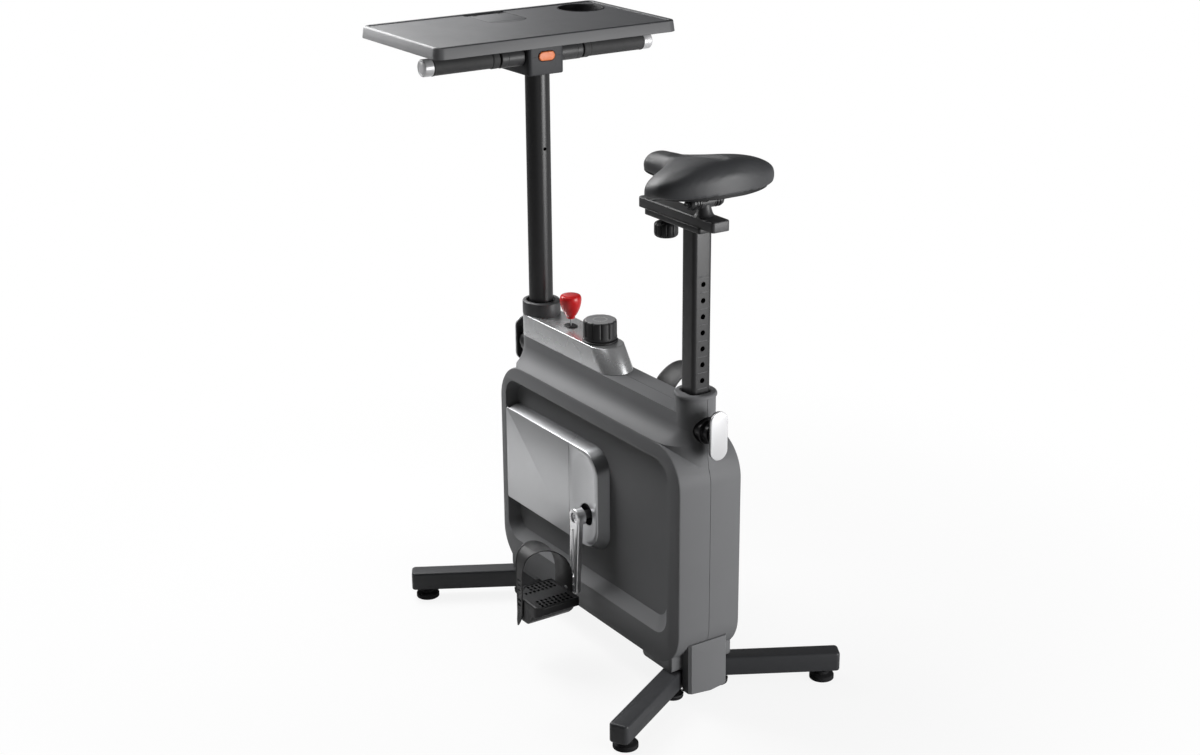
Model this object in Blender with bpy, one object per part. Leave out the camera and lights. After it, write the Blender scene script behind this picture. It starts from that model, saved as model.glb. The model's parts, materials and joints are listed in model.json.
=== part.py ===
# Desk exercise bike: a sit-down pedal bike with a height-adjustable desk.
# Metres, +Z up. -X is the desk end, +X the saddle end, -Y the rider's left.
# The origin is on the floor, under the middle of the whole bike.

import bpy
import bmesh
from math import acos, atan2, cos, hypot, pi, sin, sqrt
from mathutils import Matrix, Vector

# Driving dimensions
GAP = 0.0003
WALL = 0.003
FLOOR_CLEARANCE = 0.022

POST_X = -0.2225
POST_RADIUS = 0.024
POST_BOTTOM = 0.36
POST_HOLE_PITCH = 0.040
SEAT_X = 0.3019
SEAT_TUBE = 0.040
SEAT_TUBE_BOTTOM = 0.40
TUBE_WALL = 0.0025

BODY_MID_X = 0.0392
BODY_HALF_LENGTH = 0.3129
BODY_HALF_WIDTH = 0.0696
BODY_BOTTOM = 0.070
BODY_TOP = 0.511
BODY_CORNER = 0.078
RIDGE_RADIUS = 0.0365
RIDGE_TOP = 0.567
COVE_TOP = 0.548
BOSS_TOP = 0.597

RECESS_FRONT = -0.2535
RECESS_REAR = 0.3130
RECESS_BOTTOM = 0.129
RECESS_TOP = 0.479
RECESS_CORNER = 0.038
RECESS_DEPTH = 0.022

COVER_REAR = 0.0845
COVER_BOTTOM = 0.2155
COVER_TOP = 0.4145
COVER_SPLIT_X = -0.0155
COVER_FACE = 0.0710
COVER_CORNER = 0.046

CRANK_X = 0.0395
CRANK_Z = 0.280
CRANK_LENGTH = 0.150
ARM_INNER = 0.0835
ARM_OUTER = 0.0955
ARM_LEAN = 0.006

PEDAL_INNER = 0.1170
PEDAL_OUTER = 0.2140
PEDAL_HALF_LENGTH = 0.053
STRAP_OFFSET = -0.010
STRAP_THICKNESS = 0.0024
STRAP_STEPS = 2

BASE_MID_X = 0.0422
LEG_ROOT_X = 0.2393
LEG_ANGLE = 29.5 * pi / 180
LEG_REACH = 0.294
LEG_WIDTH = 0.038
LEG_TOP = 0.060
PAD_ALONG_LEG = 0.262
PAD_RADIUS = 0.024
INNER_PAD_ALONG_LEG = 0.060

SKIRT_ALONG = 0.2395
BLOCK_ALONG = 0.2605
FRONT_SLEEVE_RADIUS = 0.0277
SEAT_SLEEVE = 0.0470
SLEEVE_BOTTOM = 0.080
SLEEVE_CLEARANCE = 0.0009

# The spring pins, which are drawn clear of the posts' holes
LEVER_Z = 0.5385
PIN_RADIUS = 0.0036
PIN_BORE = 0.0046
PIN_TRAVEL = 0.004
PIN_FLANGE_RADIUS = 0.0237
PIN_BARREL_RADIUS = 0.0177
PIN_BARREL_LENGTH = 0.0135
PIN_FLANGE_X = {-1: POST_X - RIDGE_RADIUS - 0.008, 1: SEAT_X + RIDGE_RADIUS + 0.008}

CONSOLE_TOP = 0.612
FLUTES = 12
COLLAR_TOP = 0.640
KNOB_X = -0.0085
KEY_X = -0.1125

DESK_FRONT = -0.4362
DESK_REAR = -0.1340
DESK_HALF_WIDTH = 0.2655
DESK_TOP = 1.1845
DESK_BOTTOM = 1.1622
DESK_CORNER = 0.016
CUP_X = -0.3705
CUP_Y = 0.197
CUP_RADIUS = 0.045

BRACKET_FRONT = -0.3125
BRACKET_REAR = -0.1865
BRACKET_HALF_WIDTH = 0.040
BRACKET_BOTTOM = 1.0985
BRACKET_TOP = DESK_BOTTOM - 0.0006
BAR_X = POST_X + 0.007
BAR_Z = 1.1345
BAR_RADIUS = 0.0125
BAR_HALF_LENGTH = 0.236
GRIP_RADIUS = 0.0168

FLAP_FRONT = -0.4105
FLAP_REAR = -0.3100
FLAP_HALF_WIDTH = 0.043
FLAP_THICKNESS = 0.0030
DESK_FLOOR = DESK_TOP - 0.0015

SLIDE_FRONT = 0.1465
SLIDE_REAR = 0.3725
SLIDE_BOTTOM = 0.9150
SLIDE_TOP = 0.9345
SLIDER_KNOB_X = 0.2085
TILT_X = 0.3225
TILT_Z = 0.960
RAIL_Y = 0.0235
RAIL_STEPS = 2
SADDLE_NOSE = 0.1545
SADDLE_REAR = 0.4080
SADDLE_STATIONS = 18
SADDLE_AROUND = 26

FLYWHEEL_X = -0.0825
FLYWHEEL_Z = 0.400
FLYWHEEL_RADIUS = 0.100
BIG_PULLEY_RADIUS = 0.095
SMALL_PULLEY_RADIUS = 0.014
BELT_PLANE = 0.021
BELT_THICKNESS = 0.003
YOKE_PIVOT_ANGLE = -25 * pi / 180
YOKE_RADIUS = 0.1075

# Colour, roughness and metallic value of each finish
FINISHES = {
    "graphite_satin": ((0.085, 0.087, 0.090), 0.48, 0.0),
    "graphite_light": ((0.16, 0.16, 0.165), 0.45, 0.0),
    "desk_grey": ((0.075, 0.076, 0.080), 0.42, 0.0),
    "silver_satin": ((0.33, 0.34, 0.35), 0.38, 0.75),
    "black_satin": ((0.010, 0.010, 0.011), 0.35, 0.2),
    "black_moulded": ((0.013, 0.013, 0.014), 0.6, 0.0),
    "black_rubber": ((0.015, 0.015, 0.016), 0.8, 0.0),
    "saddle_skin": ((0.020, 0.020, 0.022), 0.5, 0.0),
    "chrome": ((0.75, 0.75, 0.76), 0.12, 1.0),
    "bright_plate": ((0.80, 0.80, 0.81), 0.3, 0.6),
    "steel": ((0.45, 0.45, 0.46), 0.35, 1.0),
    "cast_iron": ((0.09, 0.09, 0.095), 0.6, 0.8),
    "signal_red": ((0.62, 0.010, 0.012), 0.35, 0.0),
    "coral_orange": ((0.95, 0.25, 0.08), 0.4, 0.0),
    "leg_grey": ((0.090, 0.091, 0.095), 0.42, 0.1),
}

# Which coordinates a profile's first, second and depth values become
AXES = {"x": (1, 2, 0), "y": (0, 2, 1), "z": (0, 1, 2)}


def clear_scene():
    for item in list(bpy.data.objects):
        bpy.data.objects.remove(item, do_unlink=True)


def place(u, v, depth, axis):
    point = [0.0, 0.0, 0.0]
    for value, index in zip((u, v, depth), AXES[axis]):
        point[index] = value
    return point


def make(name, mesh_data):
    quads = [face for face in mesh_data.faces if len(face.verts) == 4]
    bmesh.ops.connect_verts_nonplanar(mesh_data, angle_limit=0.0005, faces=quads)
    bmesh.ops.recalc_face_normals(mesh_data, faces=mesh_data.faces)
    mesh = bpy.data.meshes.new(name)
    mesh_data.to_mesh(mesh)
    mesh_data.free()
    item = bpy.data.objects.new(name, mesh)
    bpy.context.collection.objects.link(item)
    return item


# Profiles, each a list of (u, v) points in order

def arc(cu, cv, radius, start, end, steps):
    turns = [start + (end - start) * i / steps for i in range(steps + 1)]
    return [(cu + radius * cos(t), cv + radius * sin(t)) for t in turns]


def rounded_box(u0, u1, v0, v1, radius, grow=0.0, steps=5):
    r = max(radius + grow, 0.0004)
    u0, u1, v0, v1 = u0 - grow + r, u1 + grow - r, v0 - grow + r, v1 + grow - r
    points = arc(u1, v0, r, -pi / 2, 0, steps)
    points += arc(u1, v1, r, 0, pi / 2, steps)
    points += arc(u0, v1, r, pi / 2, pi, steps)
    points += arc(u0, v0, r, pi, 3 * pi / 2, steps)
    return points


# The outline of a band round two circles, which may differ in radius
def link(a, ra, b, rb, grow=0.0, steps=8):
    ra, rb = ra + grow, rb + grow
    heading = atan2(b[1] - a[1], b[0] - a[0])
    lean = acos((ra - rb) / hypot(b[0] - a[0], b[1] - a[1]))
    far_end = arc(b[0], b[1], rb, heading - lean, heading + lean, steps)
    near_end = arc(a[0], a[1], ra, heading + lean, heading + 2 * pi - lean, steps)
    return far_end + near_end


def disc(cu, cv, radius, steps=24):
    return arc(cu, cv, radius, pi / steps, 2 * pi + pi / steps, steps)[:-1]


# Solids made from profiles

def skin(mesh_data, lower, upper):
    count = len(lower)
    for i in range(count):
        j = (i + 1) % count
        mesh_data.faces.new((lower[i], lower[j], upper[j], upper[i]))


def loft(name, rings, axis="z", closed=False):
    mesh_data = bmesh.new()
    loops = []
    for outline, depth in rings:
        loops.append([mesh_data.verts.new(place(u, v, depth, axis)) for u, v in outline])
    for lower, upper in zip(loops, loops[1:]):
        skin(mesh_data, lower, upper)
    if closed:
        skin(mesh_data, loops[-1], loops[0])
    else:
        mesh_data.faces.new(loops[0][::-1])
        mesh_data.faces.new(loops[-1])
    return make(name, mesh_data)


def prism(name, outline, low, high, axis="z"):
    return loft(name, [(outline, low), (outline, high)], axis)


# A prism with rounded rims: shape(grow) gives the outline grown by that much
def soft_prism(name, shape, low, high, edge_low, edge_high, axis="z", steps=2):
    rings = []
    for i in range(steps + 1):
        turn = pi / 2 * i / steps
        rings.append((shape(edge_low * (sin(turn) - 1)), low + edge_low * (1 - cos(turn))))
    for i in range(steps + 1):
        turn = pi / 2 * i / steps
        rings.append((shape(edge_high * (cos(turn) - 1)), high - edge_high * (1 - sin(turn))))
    return loft(name, rings, axis)


def box(name, x0, x1, y0, y1, z0, z1):
    return prism(name, [(x0, y0), (x1, y0), (x1, y1), (x0, y1)], z0, z1)


# A turned piece: profile is (radius, depth) pairs round the centre (u, v).
# A bored one's profile closes on itself, any other has flat ends.
def turned(name, profile, centre, axis="z", steps=20, bored=False):
    rings = [(disc(*centre, radius, steps), depth) for radius, depth in profile]
    return loft(name, rings, axis, bored)


def rod(name, centre, radius, low, high, axis="z", steps=12):
    return prism(name, disc(*centre, radius, steps), low, high, axis)


# A smooth run through the knots, with that many pieces between two of them
def smooth_path(knots, pieces):
    path = [Vector(knots[0])]
    last = len(knots) - 1
    for i in range(last):
        before, start, end, after = [Vector(knots[min(max(k, 0), last)]) for k in range(i - 1, i + 3)]
        for j in range(1, pieces + 1):
            t = j / pieces
            bend = (2 * before - 5 * start + 4 * end - after) * t * t
            swing = (3 * start - before - 3 * end + after) * t ** 3
            path.append((2 * start + (end - before) * t + bend + swing) / 2)
    return path


# A round bar along a list of points in an upright plane
def bent_rod(name, points, radius, sides=6):
    mesh_data = bmesh.new()
    loops = []
    for i, point in enumerate(points):
        ahead = points[min(i + 1, len(points) - 1)] - points[max(i - 1, 0)]
        facing = ahead.to_track_quat("Z", "Y")
        ring = [point + facing @ Vector((u, v, 0)) for u, v in disc(0, 0, radius, sides)]
        loops.append([mesh_data.verts.new(corner) for corner in ring])
    for lower, upper in zip(loops, loops[1:]):
        skin(mesh_data, lower, upper)
    mesh_data.faces.new(loops[0][::-1])
    mesh_data.faces.new(loops[-1])
    return make(name, mesh_data)


def combine(target, tool, operation):
    modifier = target.modifiers.new(operation, "BOOLEAN")
    modifier.operation = operation
    modifier.solver = "EXACT"
    modifier.object = tool
    graph = bpy.context.evaluated_depsgraph_get()
    mesh = bpy.data.meshes.new_from_object(target.evaluated_get(graph))
    target.modifiers.clear()
    target.data = mesh
    bpy.data.objects.remove(tool, do_unlink=True)
    return target


def cut(target, *tools):
    for tool in tools:
        combine(target, tool, "DIFFERENCE")
    return target


def fuse(target, *tools):
    for tool in tools:
        combine(target, tool, "UNION")
    return target


def keep_inside(target, tool):
    return combine(target, tool, "INTERSECT")


def copy_of(item, name):
    twin = bpy.data.objects.new(name, item.data.copy())
    bpy.context.collection.objects.link(twin)
    return twin


# The other side's twin: the same solid with its Y turned over
def mirrored(item, name):
    twin = copy_of(item, name)
    twin.data.transform(Matrix.Scale(-1, 4, Vector((0, 1, 0))))
    twin.data.flip_normals()
    return twin


def finish(item, finish_name, origin=None, smooth_angle=32):
    colour, roughness, metallic = FINISHES[finish_name]
    material = bpy.data.materials.new(item.name)
    material.use_nodes = True
    shader = material.node_tree.nodes["Principled BSDF"]
    shader.inputs["Base Color"].default_value = (*colour, 1)
    shader.inputs["Roughness"].default_value = roughness
    shader.inputs["Metallic"].default_value = metallic
    item.data.materials.clear()
    item.data.materials.append(material)
    item.data.shade_smooth()
    item.data.set_sharp_from_angle(angle=smooth_angle * pi / 180)
    if origin is not None:
        item.data.transform(Matrix.Translation(-Vector(origin)))
        item.location = origin
    return item


# The moulded casing

# The cove carries the narrow ridge out to the casing's full width
def cove_half_width(z):
    bottom_turn = 65 * pi / 180
    if z >= COVE_TOP:
        return RIDGE_RADIUS
    full = BODY_HALF_WIDTH - 0.0006
    if z <= BODY_TOP:
        return full
    turn_sine = (COVE_TOP - z) / (COVE_TOP - BODY_TOP) * sin(bottom_turn)
    share = (1 - sqrt(1 - turn_sine ** 2)) / (1 - cos(bottom_turn))
    return RIDGE_RADIUS + (full - RIDGE_RADIUS) * share


# How far the ridge's round ends flare out towards the casing's end corners
def end_flare(z):
    low = BODY_TOP - BODY_CORNER
    share = min(max((COVE_TOP - z) / (COVE_TOP - low), 0), 1)
    return 0.0135 * share ** 2


def ridge_ring(z):
    half = cove_half_width(z)
    front = POST_X - RIDGE_RADIUS - end_flare(z) + half
    rear = SEAT_X + RIDGE_RADIUS + end_flare(z) - half
    return link((front, 0), half, (rear, 0), half, steps=9), z


def body_profile(grow):
    x0 = BODY_MID_X - BODY_HALF_LENGTH
    x1 = BODY_MID_X + BODY_HALF_LENGTH
    return rounded_box(x0, x1, BODY_BOTTOM, BODY_TOP, BODY_CORNER, grow, steps=6)


def casing_outer():
    width = BODY_HALF_WIDTH
    body = soft_prism("casing", body_profile, -width, width, 0.003, 0.003, "y", 1)
    levels = [RIDGE_TOP, COVE_TOP]
    levels += [COVE_TOP - (COVE_TOP - BODY_TOP) * i / 5 for i in range(1, 6)]
    levels += [0.486, 0.460, 0.433]
    fuse(body, loft("ridge", [ridge_ring(z) for z in levels]))
    boss_radius = RIDGE_RADIUS + 0.0006
    fuse(body, rod("boss", (SEAT_X, 0), boss_radius, COVE_TOP - 0.02, BOSS_TOP, steps=26))
    for side in (-1, 1):
        middle = BASE_MID_X + side * SKIRT_ALONG
        def skirt(grow):
            return rounded_box(middle - 0.048, middle + 0.048, 0.0606, 0.100, 0.009, grow, 2)
        width = BODY_HALF_WIDTH - 0.0005
        fuse(body, soft_prism("skirt", skirt, -width, width, 0.003, 0.003, "y", 1))
    return body


# The pocket in each side, whose walls slope in to a smaller floor
def recess(side, grow, name="recess"):
    mouth = rounded_box(RECESS_FRONT, RECESS_REAR, RECESS_BOTTOM, RECESS_TOP, RECESS_CORNER, grow, 4)
    floor = rounded_box(RECESS_FRONT + 0.012, RECESS_REAR - 0.030, RECESS_BOTTOM + 0.021,
                        RECESS_TOP - 0.014, RECESS_CORNER - 0.010, grow, 4)
    outside = BODY_HALF_WIDTH + 0.010
    bottom = BODY_HALF_WIDTH - RECESS_DEPTH - grow
    rings = [(mouth, side * outside), (mouth, side * BODY_HALF_WIDTH), (floor, side * bottom)]
    return loft(name, rings, "y")


def casing_cavity():
    inside = BODY_HALF_WIDTH - WALL
    cavity = prism("cavity", body_profile(-WALL), -inside, inside, "y")
    for side in (-1, 1):
        cut(cavity, recess(side, WALL))
    upper = link((POST_X, 0), RIDGE_RADIUS - WALL, (SEAT_X, 0), RIDGE_RADIUS - WALL, 0, 7)
    fuse(cavity, prism("upper", upper, 0.47, RIDGE_TOP - WALL))
    for side in (-1, 1):
        middle = BASE_MID_X + side * SKIRT_ALONG
        opening = box("opening", middle - 0.043, middle + 0.043, -0.0625, 0.0625, 0.0636, 0.0850)
        fuse(cavity, opening)
    return cavity


def base_block_outline(end, grow=0.0):
    middle = BASE_MID_X + end * BLOCK_ALONG
    return rounded_box(middle - 0.035, middle + 0.035, -0.034, 0.034, 0.004, grow, 2)


def seat_tube_outline(width, grow=0.0, steps=3):
    half = width / 2
    return rounded_box(SEAT_X - half, SEAT_X + half, -half, half, width * 0.2, grow, steps)


def casing_halves():
    body = casing_outer()
    cut(body, casing_cavity())
    for side in (-1, 1):
        cut(body, recess(side, 0))
    for end in (-1, 1):
        cut(body, prism("block_way", base_block_outline(end, 0.001), 0.040, 0.0985))
    sleeve_way = FRONT_SLEEVE_RADIUS + SLEEVE_CLEARANCE
    cut(body, rod("front_sleeve_way", (POST_X, 0), sleeve_way, 0.53, 0.60, steps=18))
    cut(body, prism("seat_sleeve_way", seat_tube_outline(SEAT_SLEEVE + 2 * GAP), 0.53, 0.62))
    cut(body, rod("cable_way", (KNOB_X - 0.0036, -0.0050), 0.0038, 0.55, 0.58, steps=8))
    cut(body, rod("spindle_way", (CRANK_X, CRANK_Z), 0.0125, -0.08, 0.08, "y", 14))
    cut(body, rod("rear_pin_way", (0, LEVER_Z), 0.0250, 0.325, 0.36, "x", 18))
    cut(body, rod("front_pin_way", (0, LEVER_Z), 0.0250, -0.29, -0.248, "x", 18))
    halves = []
    for side, name in ((-1, "left_shell"), (1, "right_shell")):
        half = copy_of(body, name)
        near, far = sorted((side * GAP / 2, side * 0.2))
        halves.append(keep_inside(half, box("half_space", -0.6, 0.6, near, far, 0, 1)))
        finish(half, "graphite_satin")
    bpy.data.objects.remove(body, do_unlink=True)
    return halves


# Side covers: a flat plate in front and the crank cover behind it

def cover_outline(grow, depth_share=0.0):
    slope = 0.009 * depth_share
    return rounded_box(RECESS_FRONT + 0.001, COVER_REAR + slope, COVER_BOTTOM - slope,
                       COVER_TOP + slope, COVER_CORNER, grow, 4)


def cover_solid(grow, face, floor):
    rings = [(cover_outline(grow - 0.0015), -face), (cover_outline(grow), -face + 0.0015),
             (cover_outline(grow, 1.0), -floor)]
    return loft("cover", rings, "y")


def side_covers():
    floor = BODY_HALF_WIDTH - RECESS_DEPTH + GAP
    whole = cover_solid(0, COVER_FACE, floor)
    cut(whole, cover_solid(-0.0025, COVER_FACE - 0.0025, floor - 0.001))
    front_limit = RECESS_FRONT + 0.0135
    plate = keep_inside(copy_of(whole, "left_side_plate"),
                        box("front_part", front_limit, COVER_SPLIT_X - GAP / 2, -0.1, 0, 0, 1))
    crank_cover = keep_inside(copy_of(whole, "left_crank_cover"),
                              box("rear_part", COVER_SPLIT_X + GAP / 2, 0.2, -0.1, 0, 0, 1))
    bpy.data.objects.remove(whole, do_unlink=True)
    lip = prism("front_lip", rounded_box(RECESS_FRONT + 0.001, front_limit + 0.004, COVER_BOTTOM,
                                         COVER_TOP, 0.002, 0, 2), -COVER_FACE, -COVER_FACE + 0.002, "y")
    fuse(plate, lip)
    # A shallow upright scoop, with the hub's hole at its lower end
    top, low = (CRANK_X - 0.004, COVER_TOP - 0.048), (CRANK_X + 0.003, CRANK_Z - 0.018)
    def pill(radius):
        return link(top, radius, low, radius, 0, 5)
    back = [(pill(0.0355), -COVER_FACE + 0.0015), (pill(0.0310), -COVER_FACE + 0.0070)]
    fuse(crank_cover, loft("scoop_back", back, "y"))
    front = [(pill(0.0350), -COVER_FACE - 0.0020), (pill(0.0280), -COVER_FACE + 0.0045)]
    cut(crank_cover, loft("scoop", front, "y"))
    cut(crank_cover, rod("hub_hole", (CRANK_X, CRANK_Z), 0.0225, -0.08, -0.04, "y", 18))
    for piece in (plate, crank_cover):
        twin = mirrored(piece, piece.name.replace("left", "right"))
        finish(piece, "silver_satin")
        finish(twin, "silver_satin")


# Steel frame: base beam, end blocks, sleeves, bottom bracket and flywheel fork

YOKE_PIVOT = (FLYWHEEL_X + YOKE_RADIUS * cos(YOKE_PIVOT_ANGLE),
              FLYWHEEL_Z + YOKE_RADIUS * sin(YOKE_PIVOT_ANGLE))


def idler_centre():
    reach = hypot(FLYWHEEL_X - CRANK_X, FLYWHEEL_Z - CRANK_Z)
    along = ((FLYWHEEL_X - CRANK_X) / reach, (FLYWHEEL_Z - CRANK_Z) / reach)
    across = (-along[1], along[0])
    slope = (BIG_PULLEY_RADIUS - SMALL_PULLEY_RADIUS) / reach
    lift = sqrt(1 - slope ** 2)
    outward = (slope * along[0] + lift * across[0], slope * along[1] + lift * across[1])
    middle = ((CRANK_X + FLYWHEEL_X) / 2, (CRANK_Z + FLYWHEEL_Z) / 2)
    span = (BIG_PULLEY_RADIUS + SMALL_PULLEY_RADIUS) / 2 + BELT_THICKNESS + 4 * GAP + 0.014
    return middle[0] + outward[0] * span, middle[1] + outward[1] * span


def steel_frame():
    frame = box("steel_frame", POST_X + 0.01, SEAT_X - 0.01, -0.025, 0.025, 0.0750, 0.1050)
    for end in (-1, 1):
        fuse(frame, prism("end_block", base_block_outline(end), 0.0240, 0.0900))
    fuse(frame, rod("front_sleeve", (POST_X, 0), FRONT_SLEEVE_RADIUS, SLEEVE_BOTTOM,
                    CONSOLE_TOP - 0.0005, steps=18))
    fuse(frame, prism("seat_sleeve", seat_tube_outline(SEAT_SLEEVE), SLEEVE_BOTTOM, BOSS_TOP - 0.0005))
    fuse(frame, box("strut", CRANK_X - 0.02, CRANK_X + 0.02, -0.034, 0.002, 0.100, 0.262))
    fuse(frame, rod("bracket_shell", (CRANK_X, CRANK_Z), 0.0240, -0.041, 0.008, "y", 14))
    fuse(frame, box("fork_root", POST_X - 0.018, POST_X + 0.018, -0.0385, 0.0375, 0.385, 0.415))
    axle, root = (FLYWHEEL_X, FLYWHEEL_Z), (POST_X, FLYWHEEL_Z)
    fuse(frame, prism("left_fork", link(root, 0.018, axle, 0.016, 0, 4), -0.0387, -0.0345, "y"))
    fuse(frame, prism("right_fork", link(root, 0.018, axle, 0.016, 0, 4), 0.0335, 0.0377, "y"))
    fuse(frame, prism("idler_arm", link(axle, 0.012, idler_centre(), 0.009, 0, 4), 0.0338, 0.0372, "y"))
    fuse(frame, rod("idler_pin", idler_centre(), 0.004, 0.012, 0.035, "y", 8))
    crank = (CRANK_X, CRANK_Z)
    fuse(frame, prism("yoke_lug", link(crank, 0.021, YOKE_PIVOT, 0.009, 0, 4), -0.0405, -0.0365, "y"))
    fuse(frame, rod("yoke_pin", YOKE_PIVOT, 0.004, -0.038, 0.006, "y", 8))
    for end, centre_x, tube in ((-1, POST_X, FRONT_SLEEVE_RADIUS), (1, SEAT_X, SEAT_SLEEVE / 2)):
        near = centre_x + end * (tube - 0.002)
        outer = PIN_FLANGE_X[end]
        fuse(frame, rod("pin_flange", (0, LEVER_Z), PIN_FLANGE_RADIUS, near, outer, "x", 16))
        fuse(frame, rod("pin_barrel", (0, LEVER_Z), PIN_BARREL_RADIUS, near,
                        outer + end * PIN_BARREL_LENGTH, "x", 12))
    cut(frame, rod("post_bore", (POST_X, 0), POST_RADIUS + 0.0010, 0.110, 0.70, steps=18))
    cut(frame, prism("seat_bore", seat_tube_outline(SEAT_TUBE, 0.0006), 0.110, 0.70))
    cut(frame, rod("bearing_bore", (CRANK_X, CRANK_Z), 0.0184, -0.05, 0.02, "y", 14))
    cut(frame, rod("axle_bore", axle, 0.0067, -0.05, 0.05, "y", 10))
    cut(frame, rod("front_pin_bore", (0, LEVER_Z), PIN_BORE, -0.31, POST_X, "x", 10))
    cut(frame, rod("rear_pin_bore", (0, LEVER_Z), PIN_BORE, SEAT_X, 0.38, "x", 10))
    finish(frame, "black_satin")


# Collars and console

def collars():
    def front(grow):
        return link((POST_X, 0), 0.0375, (POST_X + 0.012, 0), 0.0325, grow, 7)
    collar = soft_prism("desk_post_collar", front, CONSOLE_TOP + GAP, COLLAR_TOP, 0.0005, 0.003, "z", 1)
    cut(collar, rod("bore", (POST_X, 0), POST_RADIUS + 0.0010, 0.6, 0.7, steps=18))
    finish(collar, "black_moulded")
    profile = [(0.0385, BOSS_TOP + GAP), (0.0395, BOSS_TOP + 0.0025), (0.0385, BOSS_TOP + 0.0055),
               (0.0340, BOSS_TOP + 0.0080)]
    ring = turned("seat_post_collar", profile, (SEAT_X, 0), steps=26)
    cut(ring, prism("bore", seat_tube_outline(SEAT_TUBE, 0.0006), 0.59, 0.62))
    finish(ring, "graphite_light")


def console_outline(rear, grow):
    return link((POST_X, 0), 0.0370, (POST_X + rear, 0), 0.0355, grow, 7)


def console():
    low = RIDGE_TOP + GAP
    rings = [(console_outline(0.2640, 0), low), (console_outline(0.2330, 0), CONSOLE_TOP - 0.0018),
             (console_outline(0.2310, -0.0015), CONSOLE_TOP)]
    housing = loft("console_housing", rings)
    inner = [(console_outline(0.2650, -WALL), low - 0.001),
             (console_outline(0.2330, -WALL), CONSOLE_TOP - WALL)]
    cut(housing, loft("hollow", inner))
    sleeve_way = FRONT_SLEEVE_RADIUS + SLEEVE_CLEARANCE
    cut(housing, rod("sleeve_way", (POST_X, 0), sleeve_way, 0.60, 0.62, steps=18))
    cut(housing, rod("knob_way", (KNOB_X, 0), 0.0070, 0.60, 0.62))
    key_way = link((KEY_X - 0.004, 0), 0.0085, (KEY_X + 0.004, 0), 0.0085, 0, 5)
    cut(housing, prism("key_way", key_way, 0.60, 0.62))
    finish(housing, "silver_satin")
    profile = [(0.0075, CONSOLE_TOP + GAP), (0.0345, CONSOLE_TOP + GAP), (0.0345, CONSOLE_TOP + 0.003),
               (0.0325, CONSOLE_TOP + 0.0045), (0.0075, CONSOLE_TOP + 0.0045)]
    bezel = turned("tension_knob_bezel", profile, (KNOB_X, 0), steps=24, bored=True)
    finish(bezel, "black_moulded")
    def grommet(grow):
        return link((KEY_X - 0.004, 0), 0.0082, (KEY_X + 0.004, 0), 0.0082, grow, 5)
    socket = prism("stop_key_socket", grommet(0), CONSOLE_TOP - 0.010, CONSOLE_TOP + GAP)
    fuse(socket, soft_prism("rim", lambda grow: grommet(0.003 + grow), CONSOLE_TOP + GAP,
                            CONSOLE_TOP + 0.0025, 0.0002, 0.0010, "z", 1))
    cut(socket, rod("key_bore", (KEY_X, 0), 0.0040, CONSOLE_TOP - 0.02, CONSOLE_TOP + 0.01))
    finish(socket, "black_moulded")


def fluted(centre, radius, depth):
    points = []
    for i in range(FLUTES * 3):
        turn = 2 * pi * (i + 0.5) / (FLUTES * 3)
        r = radius - (depth if i % 3 == 0 else 0)
        points.append((centre[0] + r * cos(turn), centre[1] + r * sin(turn)))
    return points


# The tension knob has fluted sides and a dished top
def tension_knob():
    low = CONSOLE_TOP + 0.0050
    top = low + 0.038
    centre = (KNOB_X, 0)
    rings = [(fluted(centre, 0.0330, 0.0), low), (fluted(centre, 0.0330, 0.0018), low + 0.007),
             (fluted(centre, 0.0325, 0.0018), top - 0.005), (fluted(centre, 0.0300, 0.0), top),
             (fluted(centre, 0.0255, 0.0), top - 0.0012)]
    knob = loft("tension_knob", rings)
    fuse(knob, rod("stem", centre, 0.0065, 0.592, low + 0.004))
    finish(knob, "black_moulded", (KNOB_X, 0, low))


# The stop key is a bell on a thin stem that goes down into its socket
def stop_key():
    profile = [(0.0032, 0.598), (0.0032, 0.628), (0.0072, 0.629), (0.0112, 0.6365), (0.0172, 0.649),
               (0.0208, 0.663), (0.0214, 0.670), (0.0190, 0.6765), (0.0080, 0.678)]
    finish(turned("stop_key", profile, (KEY_X, 0), steps=18), "signal_red", (KEY_X, 0, 0.598))


# Legs, feet and the covers over the base's ends

def leg_frame(end, side):
    root = Vector((BASE_MID_X + end * LEG_ROOT_X, 0, 0))
    along = Vector((end * sin(LEG_ANGLE), side * cos(LEG_ANGLE), 0))
    across = Vector((end * cos(LEG_ANGLE), -side * sin(LEG_ANGLE), 0))
    return root, along, across


def leg_outline(end, side, start, reach, width, radius, grow):
    root, along, across = leg_frame(end, side)
    outline = rounded_box(start, reach, -width / 2, width / 2, radius, grow, 2)
    points = [root + along * u + across * v for u, v in outline]
    return [(p.x, p.y) for p in points]


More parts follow.
